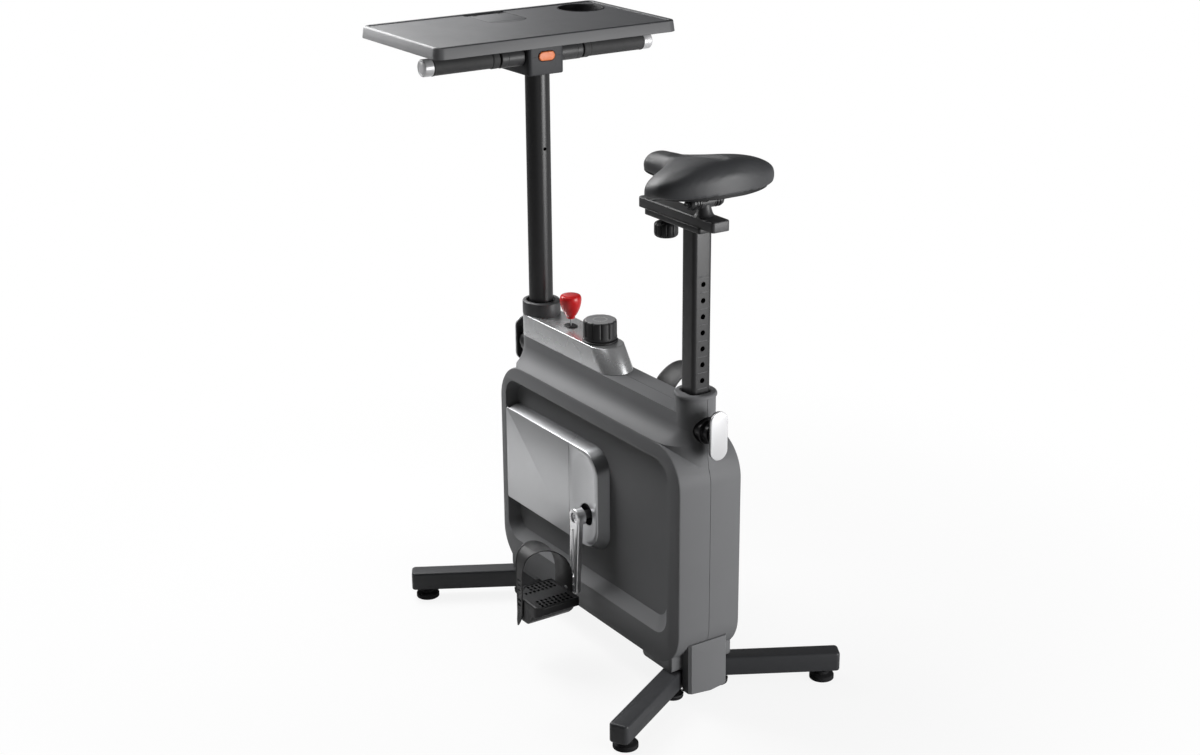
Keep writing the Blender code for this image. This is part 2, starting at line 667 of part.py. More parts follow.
def leg(end, side, name):
    def outline(grow):
        return leg_outline(end, side, 0.0, LEG_REACH, LEG_WIDTH, 0.008, grow)
    bar = soft_prism(name, outline, FLOOR_CLEARANCE, LEG_TOP, 0.003, 0.0045, "z", 1)
    near, far = sorted((side * (0.034 + GAP), side * 0.35))
    keep_inside(bar, box("outboard", -0.6, 0.6, near, far, 0, 0.1))
    root, along = leg_frame(end, side)[:2]
    pad = root + along * PAD_ALONG_LEG
    cut(bar, rod("foot_bore", (pad.x, pad.y), 0.0056, 0.0, 0.050, steps=10))
    inner = root + along * INNER_PAD_ALONG_LEG
    profile = [(0.0190, 0.0015), (0.0200, 0.0090), (0.0090, 0.0125), (0.0090, 0.026)]
    fuse(bar, turned("inner_pad", profile, (inner.x, inner.y), steps=12))
    finish(bar, "leg_grey")
    foot_profile = [(0.0228, 0), (PAD_RADIUS, 0.0020), (PAD_RADIUS, 0.0090), (0.0130, 0.0125),
                    (0.0130, 0.0180), (0.0050, 0.0180), (0.0050, 0.0400)]
    foot = turned(name.replace("leg", "foot"), foot_profile, (pad.x, pad.y), steps=14)
    finish(foot, "black_rubber", (pad.x, pad.y, 0))


def legs():
    for end, end_name in ((-1, "front"), (1, "rear")):
        for side, side_name in ((-1, "left"), (1, "right")):
            leg(end, side, f"{end_name}_{side_name}_leg")


# A foot cover is open below and towards the middle, and is folded to a prow at its seam
def foot_cover_rings(end, shell):
    rings = []
    for z, reach, prow in ((0.020, 0.3142, 0.0065), (0.090, 0.3132, 0.0020), (0.121, 0.3128, 0.0)):
        side_x = BODY_MID_X + end * (reach - shell)
        back = BASE_MID_X + end * (0.2880 - 4 * shell)
        half = 0.0440 - shell
        corner = side_x - end * 0.005
        points = [(back, -half), (corner, -half), (side_x, -half + 0.005), (side_x + end * prow, 0),
                  (side_x, half - 0.005), (corner, half), (back, half)]
        rings.append((points, z - shell))
    return rings


def foot_cover(end, name):
    cover = loft(name, foot_cover_rings(end, 0))
    cut(cover, loft("hollow", foot_cover_rings(end, WALL)))
    # The casing's rounded end corner stands in the cover's upper part
    cut(cover, prism("corner", body_profile(GAP), -0.08, 0.08, "y"))
    finish(cover, "graphite_light")


# The drive inside the casing

def bearings():
    for side, name in ((-1, "left_bearing"), (1, "right_bearing")):
        centre = -0.0165 + side * 0.0185
        low, high = centre - 0.005, centre + 0.005
        profile = [(0.0090, low), (0.0178, low), (0.0178, high), (0.0090, high)]
        finish(turned(name, profile, (CRANK_X, CRANK_Z), "y", 18, bored=True), "steel")


def crank_set():
    centre = (CRANK_X, CRANK_Z)
    end = 0.0905
    profile = [(0.0060, -end), (0.0060, -end + 0.0025), (0.0085, -end + 0.0025),
               (0.0085, end - 0.0025), (0.0060, end - 0.0025), (0.0060, end)]
    finish(turned("crank_spindle", profile, centre, "y", 14), "steel", (CRANK_X, 0, CRANK_Z))
    low, high = BELT_PLANE - 0.008, BELT_PLANE + 0.008
    rim = BIG_PULLEY_RADIUS
    profile = [(0.0090, low), (0.0220, low), (0.0220, low + 0.005), (rim - 0.010, low + 0.005),
               (rim - 0.010, low), (rim + 0.002, low), (rim, low + 0.0016), (rim, high - 0.0016),
               (rim + 0.002, high), (rim - 0.010, high), (rim - 0.010, high - 0.005),
               (0.0220, high - 0.005), (0.0220, high), (0.0090, high)]
    pulley = turned("drive_pulley", profile, centre, "y", 20, bored=True)
    finish(pulley, "black_moulded", (CRANK_X, 0, CRANK_Z))
    crank_arm(-1, "left_crank_arm")
    crank_arm(1, "right_crank_arm")


# The arm leans outwards from the hub to the pedal and has a groove along its face
def crank_arm(side, name):
    hub, tip = (CRANK_X, CRANK_Z), (CRANK_X, CRANK_Z + side * CRANK_LENGTH)
    def outline(grow):
        return link(hub, 0.0165, tip, 0.0130, grow, 6)
    arm = soft_prism(name, outline, -ARM_OUTER, -ARM_INNER, 0.0025, 0.0015, "y", 1)
    groove_top = (CRANK_X, CRANK_Z + side * 0.030)
    groove_low = (CRANK_X, CRANK_Z + side * (CRANK_LENGTH - 0.028))
    for vertex in arm.data.vertices:
        share = abs(vertex.co.z - CRANK_Z) / CRANK_LENGTH
        vertex.co.y -= ARM_LEAN * min(share, 1)
    hub_disc = soft_prism("hub", lambda grow: disc(*hub, 0.0185 + grow, 14),
                          -ARM_OUTER - 0.0005, -ARM_INNER + 0.006, 0.0025, 0.001, "y", 1)
    fuse(arm, hub_disc)
    deep = ARM_OUTER + ARM_LEAN * 0.5 - 0.0035
    cut(arm, loft("groove", [(link(groove_top, 0.0065, groove_low, 0.0048, 0, 4), -ARM_OUTER - 0.02),
                             (link(groove_top, 0.0050, groove_low, 0.0036, 0, 4), -deep)], "y"))
    cut(arm, rod("spindle_bore", hub, 0.0091, -0.2, 0, "y", 12))
    cut(arm, rod("bolt_recess", hub, 0.0128, -0.2, -0.0885, "y", 14))
    cut(arm, rod("pedal_bore", tip, 0.0075, -0.2, 0, "y", 10))
    if side > 0:
        arm.data.transform(Matrix.Scale(-1, 4, Vector((0, 1, 0))))
        arm.data.flip_normals()
    finish(arm, "chrome", (CRANK_X, 0, CRANK_Z))


def belt_and_flywheel():
    big, small = (CRANK_X, CRANK_Z), (FLYWHEEL_X, FLYWHEEL_Z)
    def loop(grow):
        return link(big, BIG_PULLEY_RADIUS, small, SMALL_PULLEY_RADIUS, grow, 18)
    inner, outer = loop(3 * GAP), loop(3 * GAP + BELT_THICKNESS)
    low, high = BELT_PLANE - 0.006, BELT_PLANE + 0.006
    belt = loft("drive_belt", [(inner, low), (outer, low), (outer, high), (inner, high)], "y", True)
    finish(belt, "black_rubber")
    profile = [(0.0066, -0.0330), (0.0180, -0.0330), (0.0180, -0.0190), (0.0790, -0.0190),
               (0.0790, -0.0330), (FLYWHEEL_RADIUS, -0.0330), (FLYWHEEL_RADIUS, 0.0050),
               (0.0790, 0.0050), (0.0790, -0.0080), (0.0110, -0.0080), (0.0110, 0.0130),
               (SMALL_PULLEY_RADIUS + 0.002, 0.0130), (SMALL_PULLEY_RADIUS, 0.0146),
               (SMALL_PULLEY_RADIUS, 0.0274), (SMALL_PULLEY_RADIUS + 0.002, 0.0290),
               (0.0066, 0.0290)]
    wheel = turned("flywheel", profile, small, "y", 20, bored=True)
    finish(wheel, "cast_iron", (FLYWHEEL_X, 0, FLYWHEEL_Z))
    end = 0.0435
    profile = [(0.0095, -end), (0.0095, -0.0388), (0.0060, -0.0388),
               (0.0060, 0.0378), (0.0095, 0.0378), (0.0095, end)]
    finish(turned("flywheel_axle", profile, small, "y", 12), "steel")
    centre = idler_centre()
    low, high = BELT_PLANE - 0.0075, BELT_PLANE + 0.0075
    profile = [(0.0044, low), (0.0140, low), (0.0140, high), (0.0044, high)]
    idler = turned("idler_pulley", profile, centre, "y", 16, bored=True)
    finish(idler, "black_moulded", (centre[0], 0, centre[1]))


# A curved bracket with three magnets that swings towards the flywheel's rim
def magnet_yoke():
    degree = pi / 180
    centre = (FLYWHEEL_X, FLYWHEEL_Z)
    outline = arc(*centre, 0.1095, -22 * degree, 58 * degree, 9)
    for start in (36, 14, -8):
        outline += arc(*centre, 0.1070, (start + 19) * degree, (start + 16) * degree, 1)
        outline += arc(*centre, 0.1022, (start + 16) * degree, start * degree, 2)
        outline += arc(*centre, 0.1070, start * degree, (start - 2) * degree, 1)
    outline += arc(*centre, 0.1070, -16 * degree, -22 * degree, 1)
    yoke = prism("magnet_yoke", outline, -0.0320, 0.0040, "y")
    fuse(yoke, rod("pivot", YOKE_PIVOT, 0.0064, -0.0340, 0.0045, "y", 12))
    cut(yoke, rod("pivot_bore", YOKE_PIVOT, 0.0044, -0.05, 0.02, "y", 8))
    end_spot = (FLYWHEEL_X + 0.1085 * cos(58 * degree), FLYWHEEL_Z + 0.1085 * sin(58 * degree))
    finish(yoke, "steel", (YOKE_PIVOT[0], 0, YOKE_PIVOT[1]))
    top = Vector((KNOB_X, 0, 0.5885))
    low = Vector((end_spot[0], -0.014, end_spot[1] + 0.0180))
    bend = (top + low) / 2 + Vector((0.003, -0.002, 0))
    points = []
    for i in range(7):
        t = i / 6
        points.append(top * (1 - t) ** 2 + bend * 2 * t * (1 - t) + low * t ** 2)
    finish(bent_rod("brake_cable", points, 0.0012, 6), "steel")


# Pedals

# The tread is flat above, with a deep weighted belly under the spindle
def pedal_profile(grow):
    half_length, top = PEDAL_HALF_LENGTH, 0.0070
    side = [(half_length - 0.003, top), (half_length, top - 0.003), (half_length, -0.008),
            (half_length - 0.006, -0.012), (0.034, -0.016), (0.027, -0.030), (0.014, -0.042)]
    points = side + [(-u, v) for u, v in side[::-1]]
    middle, half_height = (top - 0.042) / 2, (top + 0.042) / 2
    return [(u * (1 + grow / half_length), middle + (v - middle) * (1 + grow / half_height))
            for u, v in points][::-1]


def pedal(side, side_name):
    axle = (CRANK_X, 0, CRANK_Z + side * CRANK_LENGTH)
    inner, outer, half = PEDAL_INNER, PEDAL_OUTER, PEDAL_HALF_LENGTH
    body = soft_prism(f"{side_name}_pedal", pedal_profile, -outer, -inner, 0.004, 0.002, "y", 1)
    # The outer end is cut off at a slant in front
    plan = [(-half - 0.01, -inner + 0.01), (-half - 0.01, -outer + 0.024), (-half + 0.022, -outer - 0.01),
            (half - 0.004, -outer - 0.01), (half + 0.01, -outer + 0.004), (half + 0.01, -inner + 0.01)]
    keep_inside(body, prism("plan", plan, -0.06, 0.02))
    # Two fields of slots, with a plain band over the spindle between them
    for centre in (-0.031, 0.031):
        for i in range(8):
            y = -inner - 0.014 - 0.0096 * i
            cut(body, box("slot", centre - 0.012, centre + 0.012, y - 0.0022, y + 0.0022, 0.001, 0.02))
    cut(body, rod("spindle_bore", (0, 0), 0.0064, -outer + 0.008, 0, "y", 12))
    low = -ARM_OUTER - ARM_LEAN - GAP
    spindle_profile = [(0.0060, -outer + 0.009), (0.0060, -inner + 0.0008), (0.0092, -inner + 0.0008),
                       (0.0092, low), (0.0071, low), (0.0071, -ARM_INNER - ARM_LEAN)]
    spindle = turned(f"{side_name}_pedal_spindle", spindle_profile, (0, 0), "y", 12)
    band = strap(f"{side_name}_pedal_strap")
    for item in (body, spindle, band):
        if side > 0:
            item.data.transform(Matrix.Scale(-1, 4, Vector((0, 1, 0))))
            item.data.flip_normals()
        item.data.transform(Matrix.Translation(axle))
    finish(body, "black_moulded", axle)
    finish(band, "black_rubber", axle)
    finish(spindle, "steel", (CRANK_X, 0, CRANK_Z))


# The toe strap: a broad band from the pedal's inner end over the shoe, narrowing to a
# ladder of slots that hooks on the outer end and ends in a pointed tail
def strap(name):
    inner_y, outer_y = -PEDAL_INNER + 0.0006, -PEDAL_OUTER - 0.0006
    knots = [(inner_y, -0.006, 0.030), (inner_y, 0.045, 0.031), (-0.130, 0.078, 0.031),
             (-0.155, 0.099, 0.030), (-0.181, 0.106, 0.027), (-0.203, 0.098, 0.020),
             (outer_y + 0.002, 0.080, 0.015), (outer_y, 0.052, 0.011), (outer_y, -0.020, 0.0095),
             (outer_y - 0.003, -0.040, 0.006), (outer_y - 0.005, -0.050, 0.0012)]
    path = smooth_path(knots, STRAP_STEPS)
    mesh_data = bmesh.new()
    loops = []
    for i, (y, z, half_width) in enumerate(path):
        before = path[max(i - 1, 0)]
        after = path[min(i + 1, len(path) - 1)]
        run = Vector((after[0] - before[0], after[1] - before[1])).normalized()
        over = (y + run.y * STRAP_THICKNESS, z - run.x * STRAP_THICKNESS)
        x0, x1 = STRAP_OFFSET - half_width, STRAP_OFFSET + half_width
        corners = [(x0, y, z), (x1, y, z), (x1, *over), (x0, *over)]
        loops.append([mesh_data.verts.new(corner) for corner in corners])
    for lower, upper in zip(loops, loops[1:]):
        skin(mesh_data, lower, upper)
    mesh_data.faces.new(loops[0][::-1])
    mesh_data.faces.new(loops[-1])
    band = make(name, mesh_data)
    cut(band, prism("spindle_notch", link((0, 0), 0.0105, (0, -0.02), 0.0105, 0, 4), -0.13, -0.1, "y"))
    for i in range(6):
        z = -0.008 + 0.0105 * i
        slot = [(STRAP_OFFSET - 0.0055, z - 0.0022), (STRAP_OFFSET + 0.0055, z - 0.0022),
                (STRAP_OFFSET + 0.0055, z + 0.0022), (STRAP_OFFSET - 0.0055, z + 0.0022)]
        cut(band, prism("ladder_slot", slot, outer_y - 0.02, outer_y + 0.02, "y"))
    return band


# Desk post, head bracket and handlebar

def desk_post():
    profile = [(POST_RADIUS - TUBE_WALL, POST_BOTTOM), (POST_RADIUS, POST_BOTTOM),
               (POST_RADIUS, 1.1120), (POST_RADIUS - TUBE_WALL, 1.1120)]
    post = turned("desk_post", profile, (POST_X, 0), steps=18, bored=True)
    cut(post, rod("rear_hole", (0, 0.951), 0.0032, POST_X, POST_X + 0.05, "x", 8))
    for i in range(9):
        z = LEVER_Z + POST_HOLE_PITCH * (i - 2)
        cut(post, rod("pin_hole", (0, z), 0.0045, POST_X - 0.05, POST_X, "x", 6))
    finish(post, "black_satin", (POST_X, 0, POST_BOTTOM))


def bracket_outline(grow):
    return rounded_box(BRACKET_FRONT, BRACKET_REAR, -BRACKET_HALF_WIDTH, BRACKET_HALF_WIDTH,
                       0.0085, grow, 3)


def button_outline(grow):
    return rounded_box(-0.0180, 0.0180, BAR_Z - 0.0088, BAR_Z + 0.0088, 0.0088, grow, 4)


def head_bracket():
    bracket = soft_prism("head_bracket", bracket_outline, BRACKET_BOTTOM, BRACKET_TOP, 0.0020, 0.0010,
                         "z", 1)
    front, rear = BRACKET_FRONT + 0.006, BRACKET_REAR - 0.014
    low, high = BRACKET_TOP + 0.0050, BRACKET_TOP + 0.0090
    fuse(bracket, box("neck", front + 0.001, rear - 0.001, -0.026, 0.026, BRACKET_TOP - 0.002,
                      high - 0.001))
    fuse(bracket, box("flange", front, rear, -0.032, 0.032, low, high))
    cut(bracket, rod("post_socket", (POST_X, 0), POST_RADIUS + GAP, 1.0, 1.1124, steps=18))
    cut(bracket, rod("bar_bore", (BAR_X, BAR_Z), BAR_RADIUS + GAP, -0.1, 0.1, "y", 16))
    # Moulded pockets between ribs, open below, in front of the post
    for i in range(2):
        x = BRACKET_FRONT + 0.004 + 0.0280 * i
        for y0, y1 in ((-0.036, -0.0015), (0.0015, 0.036)):
            cut(bracket, box("pocket", x, x + 0.025, y0, y1, 1.09, BRACKET_TOP - 0.006))
    cut(bracket, prism("button_well", button_outline(GAP), BRACKET_REAR - 0.0105, BRACKET_REAR + 0.01, "x"))
    finish(bracket, "graphite_satin", (POST_X, 0, BRACKET_BOTTOM))
    button = soft_prism("release_button", button_outline, BRACKET_REAR - 0.0055, BRACKET_REAR + 0.0025,
                        0.0003, 0.0018, "x", 1)
    finish(button, "coral_orange", (BRACKET_REAR, 0, BAR_Z))


def handlebar():
    centre = (BAR_X, BAR_Z)
    side = [(BAR_RADIUS, 0.0415), (0.0180, 0.0415), (0.0186, 0.0430), (0.0186, 0.0895),
            (0.0180, 0.0915), (BAR_RADIUS, 0.0915), (BAR_RADIUS, BAR_HALF_LENGTH)]
    profile = [(r, -y) for r, y in side[::-1]] + side
    finish(turned("handlebar", profile, centre, "y", 16), "black_satin")
    inside = BAR_RADIUS + GAP
    for sign, side_name in ((-1, "left"), (1, "right")):
        grip = [(inside, 0.0945), (0.0180, 0.0950), (0.0180, 0.1085), (0.0162, 0.1100),
                (GRIP_RADIUS, 0.1115), (GRIP_RADIUS, 0.2315), (0.0174, 0.2355), (inside, 0.2355)]
        solid = turned(f"{side_name}_grip", [(r, sign * y) for r, y in grip], centre, "y", 16, bored=True)
        finish(solid, "black_rubber")
        cap = [(0.0166, 0.2363), (0.0166, 0.2535), (0.0140, 0.2560)]
        solid = turned(f"{side_name}_end_cap", [(r, sign * y) for r, y in cap], centre, "y", 16)
        finish(solid, "bright_plate")


# The desk: a moulded tray with a raised lip, a ribbed underside and guide rails

def desk_outline(grow):
    return rounded_box(DESK_FRONT, DESK_REAR, -DESK_HALF_WIDTH, DESK_HALF_WIDTH, DESK_CORNER, grow, 4)


# The flap's free edge bulges rearwards
def flap_outline(grow):
    half = FLAP_HALF_WIDTH + grow
    points = [(FLAP_FRONT - grow, -half)]
    for i in range(9):
        share = i / 4 - 1
        points.append((FLAP_REAR + grow - 0.022 * abs(share) ** 3, share * half))
    points.append((FLAP_FRONT - grow, half))
    return points


def desk_top():
    rings = [(desk_outline(0.0035), DESK_BOTTOM), (desk_outline(0.0005), DESK_TOP - 0.0025),
             (desk_outline(-0.0020), DESK_TOP), (desk_outline(-0.0085), DESK_TOP),
             (desk_outline(-0.0100), DESK_FLOOR)]
    top = loft("desk_top", rings)
    underside = DESK_TOP - 0.0080
    tray = [(desk_outline(-0.0005), DESK_BOTTOM - 0.001), (desk_outline(-0.0035), underside)]
    cut(top, loft("tray", tray))
    low, high = BRACKET_TOP + GAP, underside + 0.002
    front, rear = DESK_FRONT + 0.0255, DESK_REAR - 0.006
    for side in (-1, 1):
        web = sorted((side * 0.0335, side * 0.0375))
        hook = sorted((side * 0.0275, side * 0.0370))
        fuse(top, box("web", front, rear, *web, low + 0.0005, high))
        fuse(top, box("hook", front + 0.0005, rear - 0.0005, *hook, low, low + 0.0037))
        across = sorted((side * 0.0365, side * 0.2640))
        for x in (-0.3850, -0.2700, -0.1800):
            fuse(top, box("rib", x - 0.001, x + 0.001, *across, DESK_BOTTOM + 0.004, high - 0.0005))
    fuse(top, rod("cup_boss", (CUP_X, CUP_Y), CUP_RADIUS + 0.0050, DESK_BOTTOM + 0.003, high, steps=24))
    cut(top, rod("cup_way", (CUP_X, CUP_Y), CUP_RADIUS + 0.0024, 1.1, 1.2, steps=24))
    rim_seat = DESK_FLOOR - 0.0012
    cut(top, rod("cup_rim_seat", (CUP_X, CUP_Y), CUP_RADIUS + 0.0040, rim_seat, 1.2, steps=24))
    pocket_floor = DESK_FLOOR - FLAP_THICKNESS - GAP
    cut(top, prism("flap_pocket", flap_outline(0.0004), pocket_floor, 1.2))
    slot = rounded_box(-0.4290, -0.4130, -0.0470, 0.0470, 0.003, 0, 1)
    cut(top, prism("tablet_slot", slot, 1.1, 1.2))
    finish(top, "desk_grey", (POST_X, 0, DESK_BOTTOM))
    wall = 0.0018
    well = [(0.0395, DESK_FLOOR - 0.0560), (CUP_RADIUS + wall, DESK_FLOOR - 0.0009),
            (CUP_RADIUS + 0.0037, DESK_FLOOR - 0.0009), (CUP_RADIUS + 0.0032, DESK_FLOOR + 0.0008),
            (CUP_RADIUS, DESK_FLOOR + 0.0008), (0.0395 - wall, DESK_FLOOR - 0.0542)]
    finish(turned("cup_holder", well, (CUP_X, CUP_Y), steps=24), "black_moulded")
    flap = soft_prism("tablet_flap", flap_outline, DESK_FLOOR - FLAP_THICKNESS, DESK_FLOOR + 0.0002,
                      0.0002, 0.0006, "z", 1)
    finish(flap, "desk_grey", (FLAP_FRONT, 0, DESK_FLOOR))


# Spring pins with long plate levers, which lock the two posts

def pull_pin(end, name):
    centre_x, tube = {-1: (POST_X, POST_RADIUS), 1: (SEAT_X, SEAT_TUBE / 2)}[end]
    tip = centre_x + end * (tube + GAP)
    barrel_end = PIN_FLANGE_X[end] + end * PIN_BARREL_LENGTH
    plate = barrel_end + end * (PIN_TRAVEL + 0.0040)
    pin = rod(name, (0, LEVER_Z), PIN_RADIUS, *sorted((tip, plate + end * 0.003)), "x", 10)
    neck = sorted((plate - end * 0.003, plate + end * 0.002))
    fuse(pin, rod("neck", (0, LEVER_Z), 0.0120, *neck, "x", 16))
    def outline(grow):
        return link((0, LEVER_Z - 0.0275), 0.0190, (0, LEVER_Z + 0.0275), 0.0190, grow, 6)
    lever = soft_prism("lever", outline, *sorted((plate, plate + end * 0.0075)), 0.0020, 0.0020, "x", 1)
    # The side that faces the post is hollow, with ribs across it
    for i in (0, 1, 3, 4):
        z = LEVER_Z + (i - 2) * 0.0150
        near, far = sorted((plate - end * 0.01, plate + end * 0.0045))
        cut(lever, box("pocket", near, far, -0.0125, 0.0125, z - 0.0055, z + 0.0055))
    fuse(pin, lever)
    finish(pin, "bright_plate", (barrel_end, 0, LEVER_Z))


# Seat post, slide, clamp and saddle

def seat_post():
    top = SLIDE_BOTTOM - 0.0062
    post = prism("seat_post", seat_tube_outline(SEAT_TUBE), SEAT_TUBE_BOTTOM, top)
    cut(post, prism("bore", seat_tube_outline(SEAT_TUBE, -TUBE_WALL), 0.3, top - 0.004))
    for i in range(13):
        z = 0.8085 - 0.030 * i
        cut(post, rod("hole", (0, z), 0.0048, SEAT_X + 0.01, SEAT_X + 0.03, "x", 6))
    # The guide on top of the post, a channel that holds the slide
    front, rear = SEAT_X - 0.130, SEAT_X + 0.0370
    def channel(grow):
        return rounded_box(front, rear, -0.0228, 0.0228, 0.004, grow, 2)
    guide = soft_prism("guide", channel, SLIDE_BOTTOM - 0.0085, SLIDE_BOTTOM + 0.0020, 0.0015, 0.0004,
                       "z", 1)
    cut(guide, box("track", front - 0.01, rear + 0.01, -0.0196, 0.0196, SLIDE_BOTTOM - GAP, 0.93))
    cut(guide, rod("screw_way", (SLIDER_KNOB_X, 0), 0.0048, 0.90, 0.93, steps=10))
    fuse(post, guide)
    finish(post, "black_satin", (SEAT_X, 0, SEAT_TUBE_BOTTOM))


def slide_bar():
    def outline(grow):
        return rounded_box(SLIDE_FRONT, SLIDE_REAR, -0.0190, 0.0190, 0.006, grow, 3)
    bar = soft_prism("slide_bar", outline, SLIDE_BOTTOM, SLIDE_TOP, 0.001, 0.0030, "z", 1)
    slot = link((SLIDER_KNOB_X - 0.046, 0), 0.0055, (SLIDER_KNOB_X + 0.046, 0), 0.0055, 0, 5)
    cut(bar, prism("screw_slot", slot, SLIDE_BOTTOM - 0.01, SLIDE_BOTTOM + 0.009))
    neck = [(0.0165, SLIDE_TOP - 0.002), (0.0160, SLIDE_TOP + 0.003), (0.0124, TILT_Z - 0.0135),
            (0.0110, TILT_Z - 0.004)]
    fuse(bar, turned("neck", neck, (TILT_X, 0), steps=16))
    fuse(bar, rod("cross_head", (TILT_X, TILT_Z), 0.0125, -0.0130, 0.0130, "y", 16))
    cut(bar, rod("bolt_bore", (TILT_X, TILT_Z), 0.0044, -0.05, 0.05, "y", 8))
    finish(bar, "black_satin", (TILT_X, 0, SLIDE_BOTTOM))
    centre = (SLIDER_KNOB_X, 0)
    rings = [(fluted(centre, 0.0150, 0.0), 0.8705), (fluted(centre, 0.0220, 0.0018), 0.8770),
             (fluted(centre, 0.0220, 0.0018), 0.8930), (fluted(centre, 0.0150, 0.0), 0.8985)]
    knob = loft("slider_knob", rings)
    fuse(knob, rod("collar", centre, 0.0090, 0.897, SLIDE_BOTTOM - 0.0088))
    fuse(knob, rod("screw", centre, 0.0042, 0.897, SLIDE_BOTTOM + 0.0060, steps=10))
    finish(knob, "black_moulded", (SLIDER_KNOB_X, 0, 0.8705))


def saddle_clamp():
    clamp = rod("saddle_clamp", (TILT_X, TILT_Z), 0.0040, -0.0410, 0.0410, "y", 10)
    for side in (-1, 1):
        # Round jaws outside the cross head, with a waist between two ribs
        jaw = [(0.0125, 0.0134), (0.0125, 0.0170), (0.0105, 0.0190), (0.0130, 0.0210), (0.0130, 0.0290),
               (0.0105, 0.0345)]
        fuse(clamp, turned("jaw", [(r, side * y) for r, y in jaw], (TILT_X, TILT_Z), "y", 12))
        fuse(clamp, bent_rod("rail", rail_points(side * RAIL_Y), 0.0036))
    finish(clamp, "black_satin", (TILT_X, 0, TILT_Z))


# Each rail runs level through its jaw and curves up into the saddle's shell at both ends
def rail_points(y):
    knots = [(-0.086, y, 0.0410), (-0.066, y, 0.0200), (-0.040, y, 0.0110), (0.0, y, 0.0105),
             (0.030, y, 0.0110), (0.050, y, 0.0220), (0.064, y, 0.0410)]
    shift = Vector((TILT_X, 0, TILT_Z))
    return [shift + knot for knot in smooth_path(knots, RAIL_STEPS)]


# The saddle's own curves run from s = 0 at the nose to s = 1 at the tail

def ease(start, end, value):
    share = min(max((value - start) / (end - start), 0), 1)
    return share * share * (3 - 2 * share)


def saddle_half_width(s):
    nose = 0.0315 * (1 - (1 - min(s / 0.16, 1)) ** 2) ** 0.5
    wings = 0.0960 * ease(0.32, 0.67, s)
    tail = max((s - 0.70) / 0.30, 0)
    return max((nose + wings) * (1 - tail ** 2.4) ** 0.60, 0.004)


def saddle_crown(s):
    nose_fall = 0.006 * (1 - ease(0.15, 0.45, s)) + 0.004 * max(1 - s / 0.22, 0) ** 2
    end_fall = 0.016 * max(1 - s / 0.14, 0) ** 2 + 0.022 * max((s - 0.88) / 0.12, 0) ** 2
    return 1.0315 - nose_fall + 0.016 * ease(0.40, 0.85, s) - end_fall


# The wings hang lowest in front, and the rim rises from there to the nose and the tail
def saddle_underside(s):
    wing_drop = 0.0125 * ease(0.22, 0.40, s) * (1 - ease(0.54, 0.76, s))
    return 0.985 + 0.004 * max(1 - s / 0.3, 0) - wing_drop + 0.008 * ease(0.60, 0.96, s)


def saddle_ring(s):
    half, crown, under = saddle_half_width(s), saddle_crown(s), saddle_underside(s)
    shoulder = under + 0.010
    channel_reach = ease(0.25, 0.37, s) * (1 - ease(0.82, 0.92, s))
    ring = []
    for i in range(SADDLE_AROUND):
        turn = 2 * pi * (i + 0.5) / SADDLE_AROUND
        y = half * abs(cos(turn)) ** 0.80 * (1 if cos(turn) > 0 else -1)
        rise = sin(turn)
        if rise > 0:
            droop = (0.008 + 0.14 * max(half - 0.045, 0)) * (abs(y) / half) ** 2.4
            channel = 0.0050 * max(1 - (y / 0.014) ** 2, 0) * channel_reach
            z = shoulder + (crown - droop - shoulder) * rise ** 0.42 - channel
        else:
            # The sides are drawn in under the widest line, and the shell is hollow inside its rim
            y *= 1 + 0.12 * max(rise * 2, -1)
            z = under + 0.010 * max(1 + rise * 2.2, 0) + 0.010 * ease(0.60, 0.92, -rise)
        ring.append((y, z))
    return ring


def saddle():
    rings = []
    for k in range(SADDLE_STATIONS):
        s = 0.5 - 0.5 * cos(pi * (0.02 + 0.96 * k / (SADDLE_STATIONS - 1)))
        rings.append((saddle_ring(s), SADDLE_NOSE + (SADDLE_REAR - SADDLE_NOSE) * s))
    seat = loft("saddle", rings, "x")
    # The shell under the cushion takes the rails' ends
    for side in (-1, 1):
        cut(seat, bent_rod("rail_way", rail_points(side * RAIL_Y), 0.0041))
    finish(seat, "saddle_skin", (TILT_X, 0, TILT_Z), 50)


clear_scene()
casing_halves()
side_covers()
steel_frame()
collars()
console()
tension_knob()
stop_key()
legs()
foot_cover(-1, "front_foot_cover")
foot_cover(1, "rear_foot_cover")
bearings()
crank_set()
belt_and_flywheel()
magnet_yoke()
pedal(-1, "left")
pedal(1, "right")
desk_post()
head_bracket()
handlebar()
desk_top()
pull_pin(-1, "front_pull_pin")
pull_pin(1, "rear_pull_pin")
seat_post()
slide_bar()
saddle_clamp()
saddle()
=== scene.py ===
# Desk exercise bike: the finished look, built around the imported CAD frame.
# Metres, +Z up, -X the desk end, +X the saddle end, -Y the rider's left.
import json
from math import acos, atan2, cos, hypot, pi, radians, sin, sqrt

import bmesh
import bpy
from mathutils import Matrix, Vector


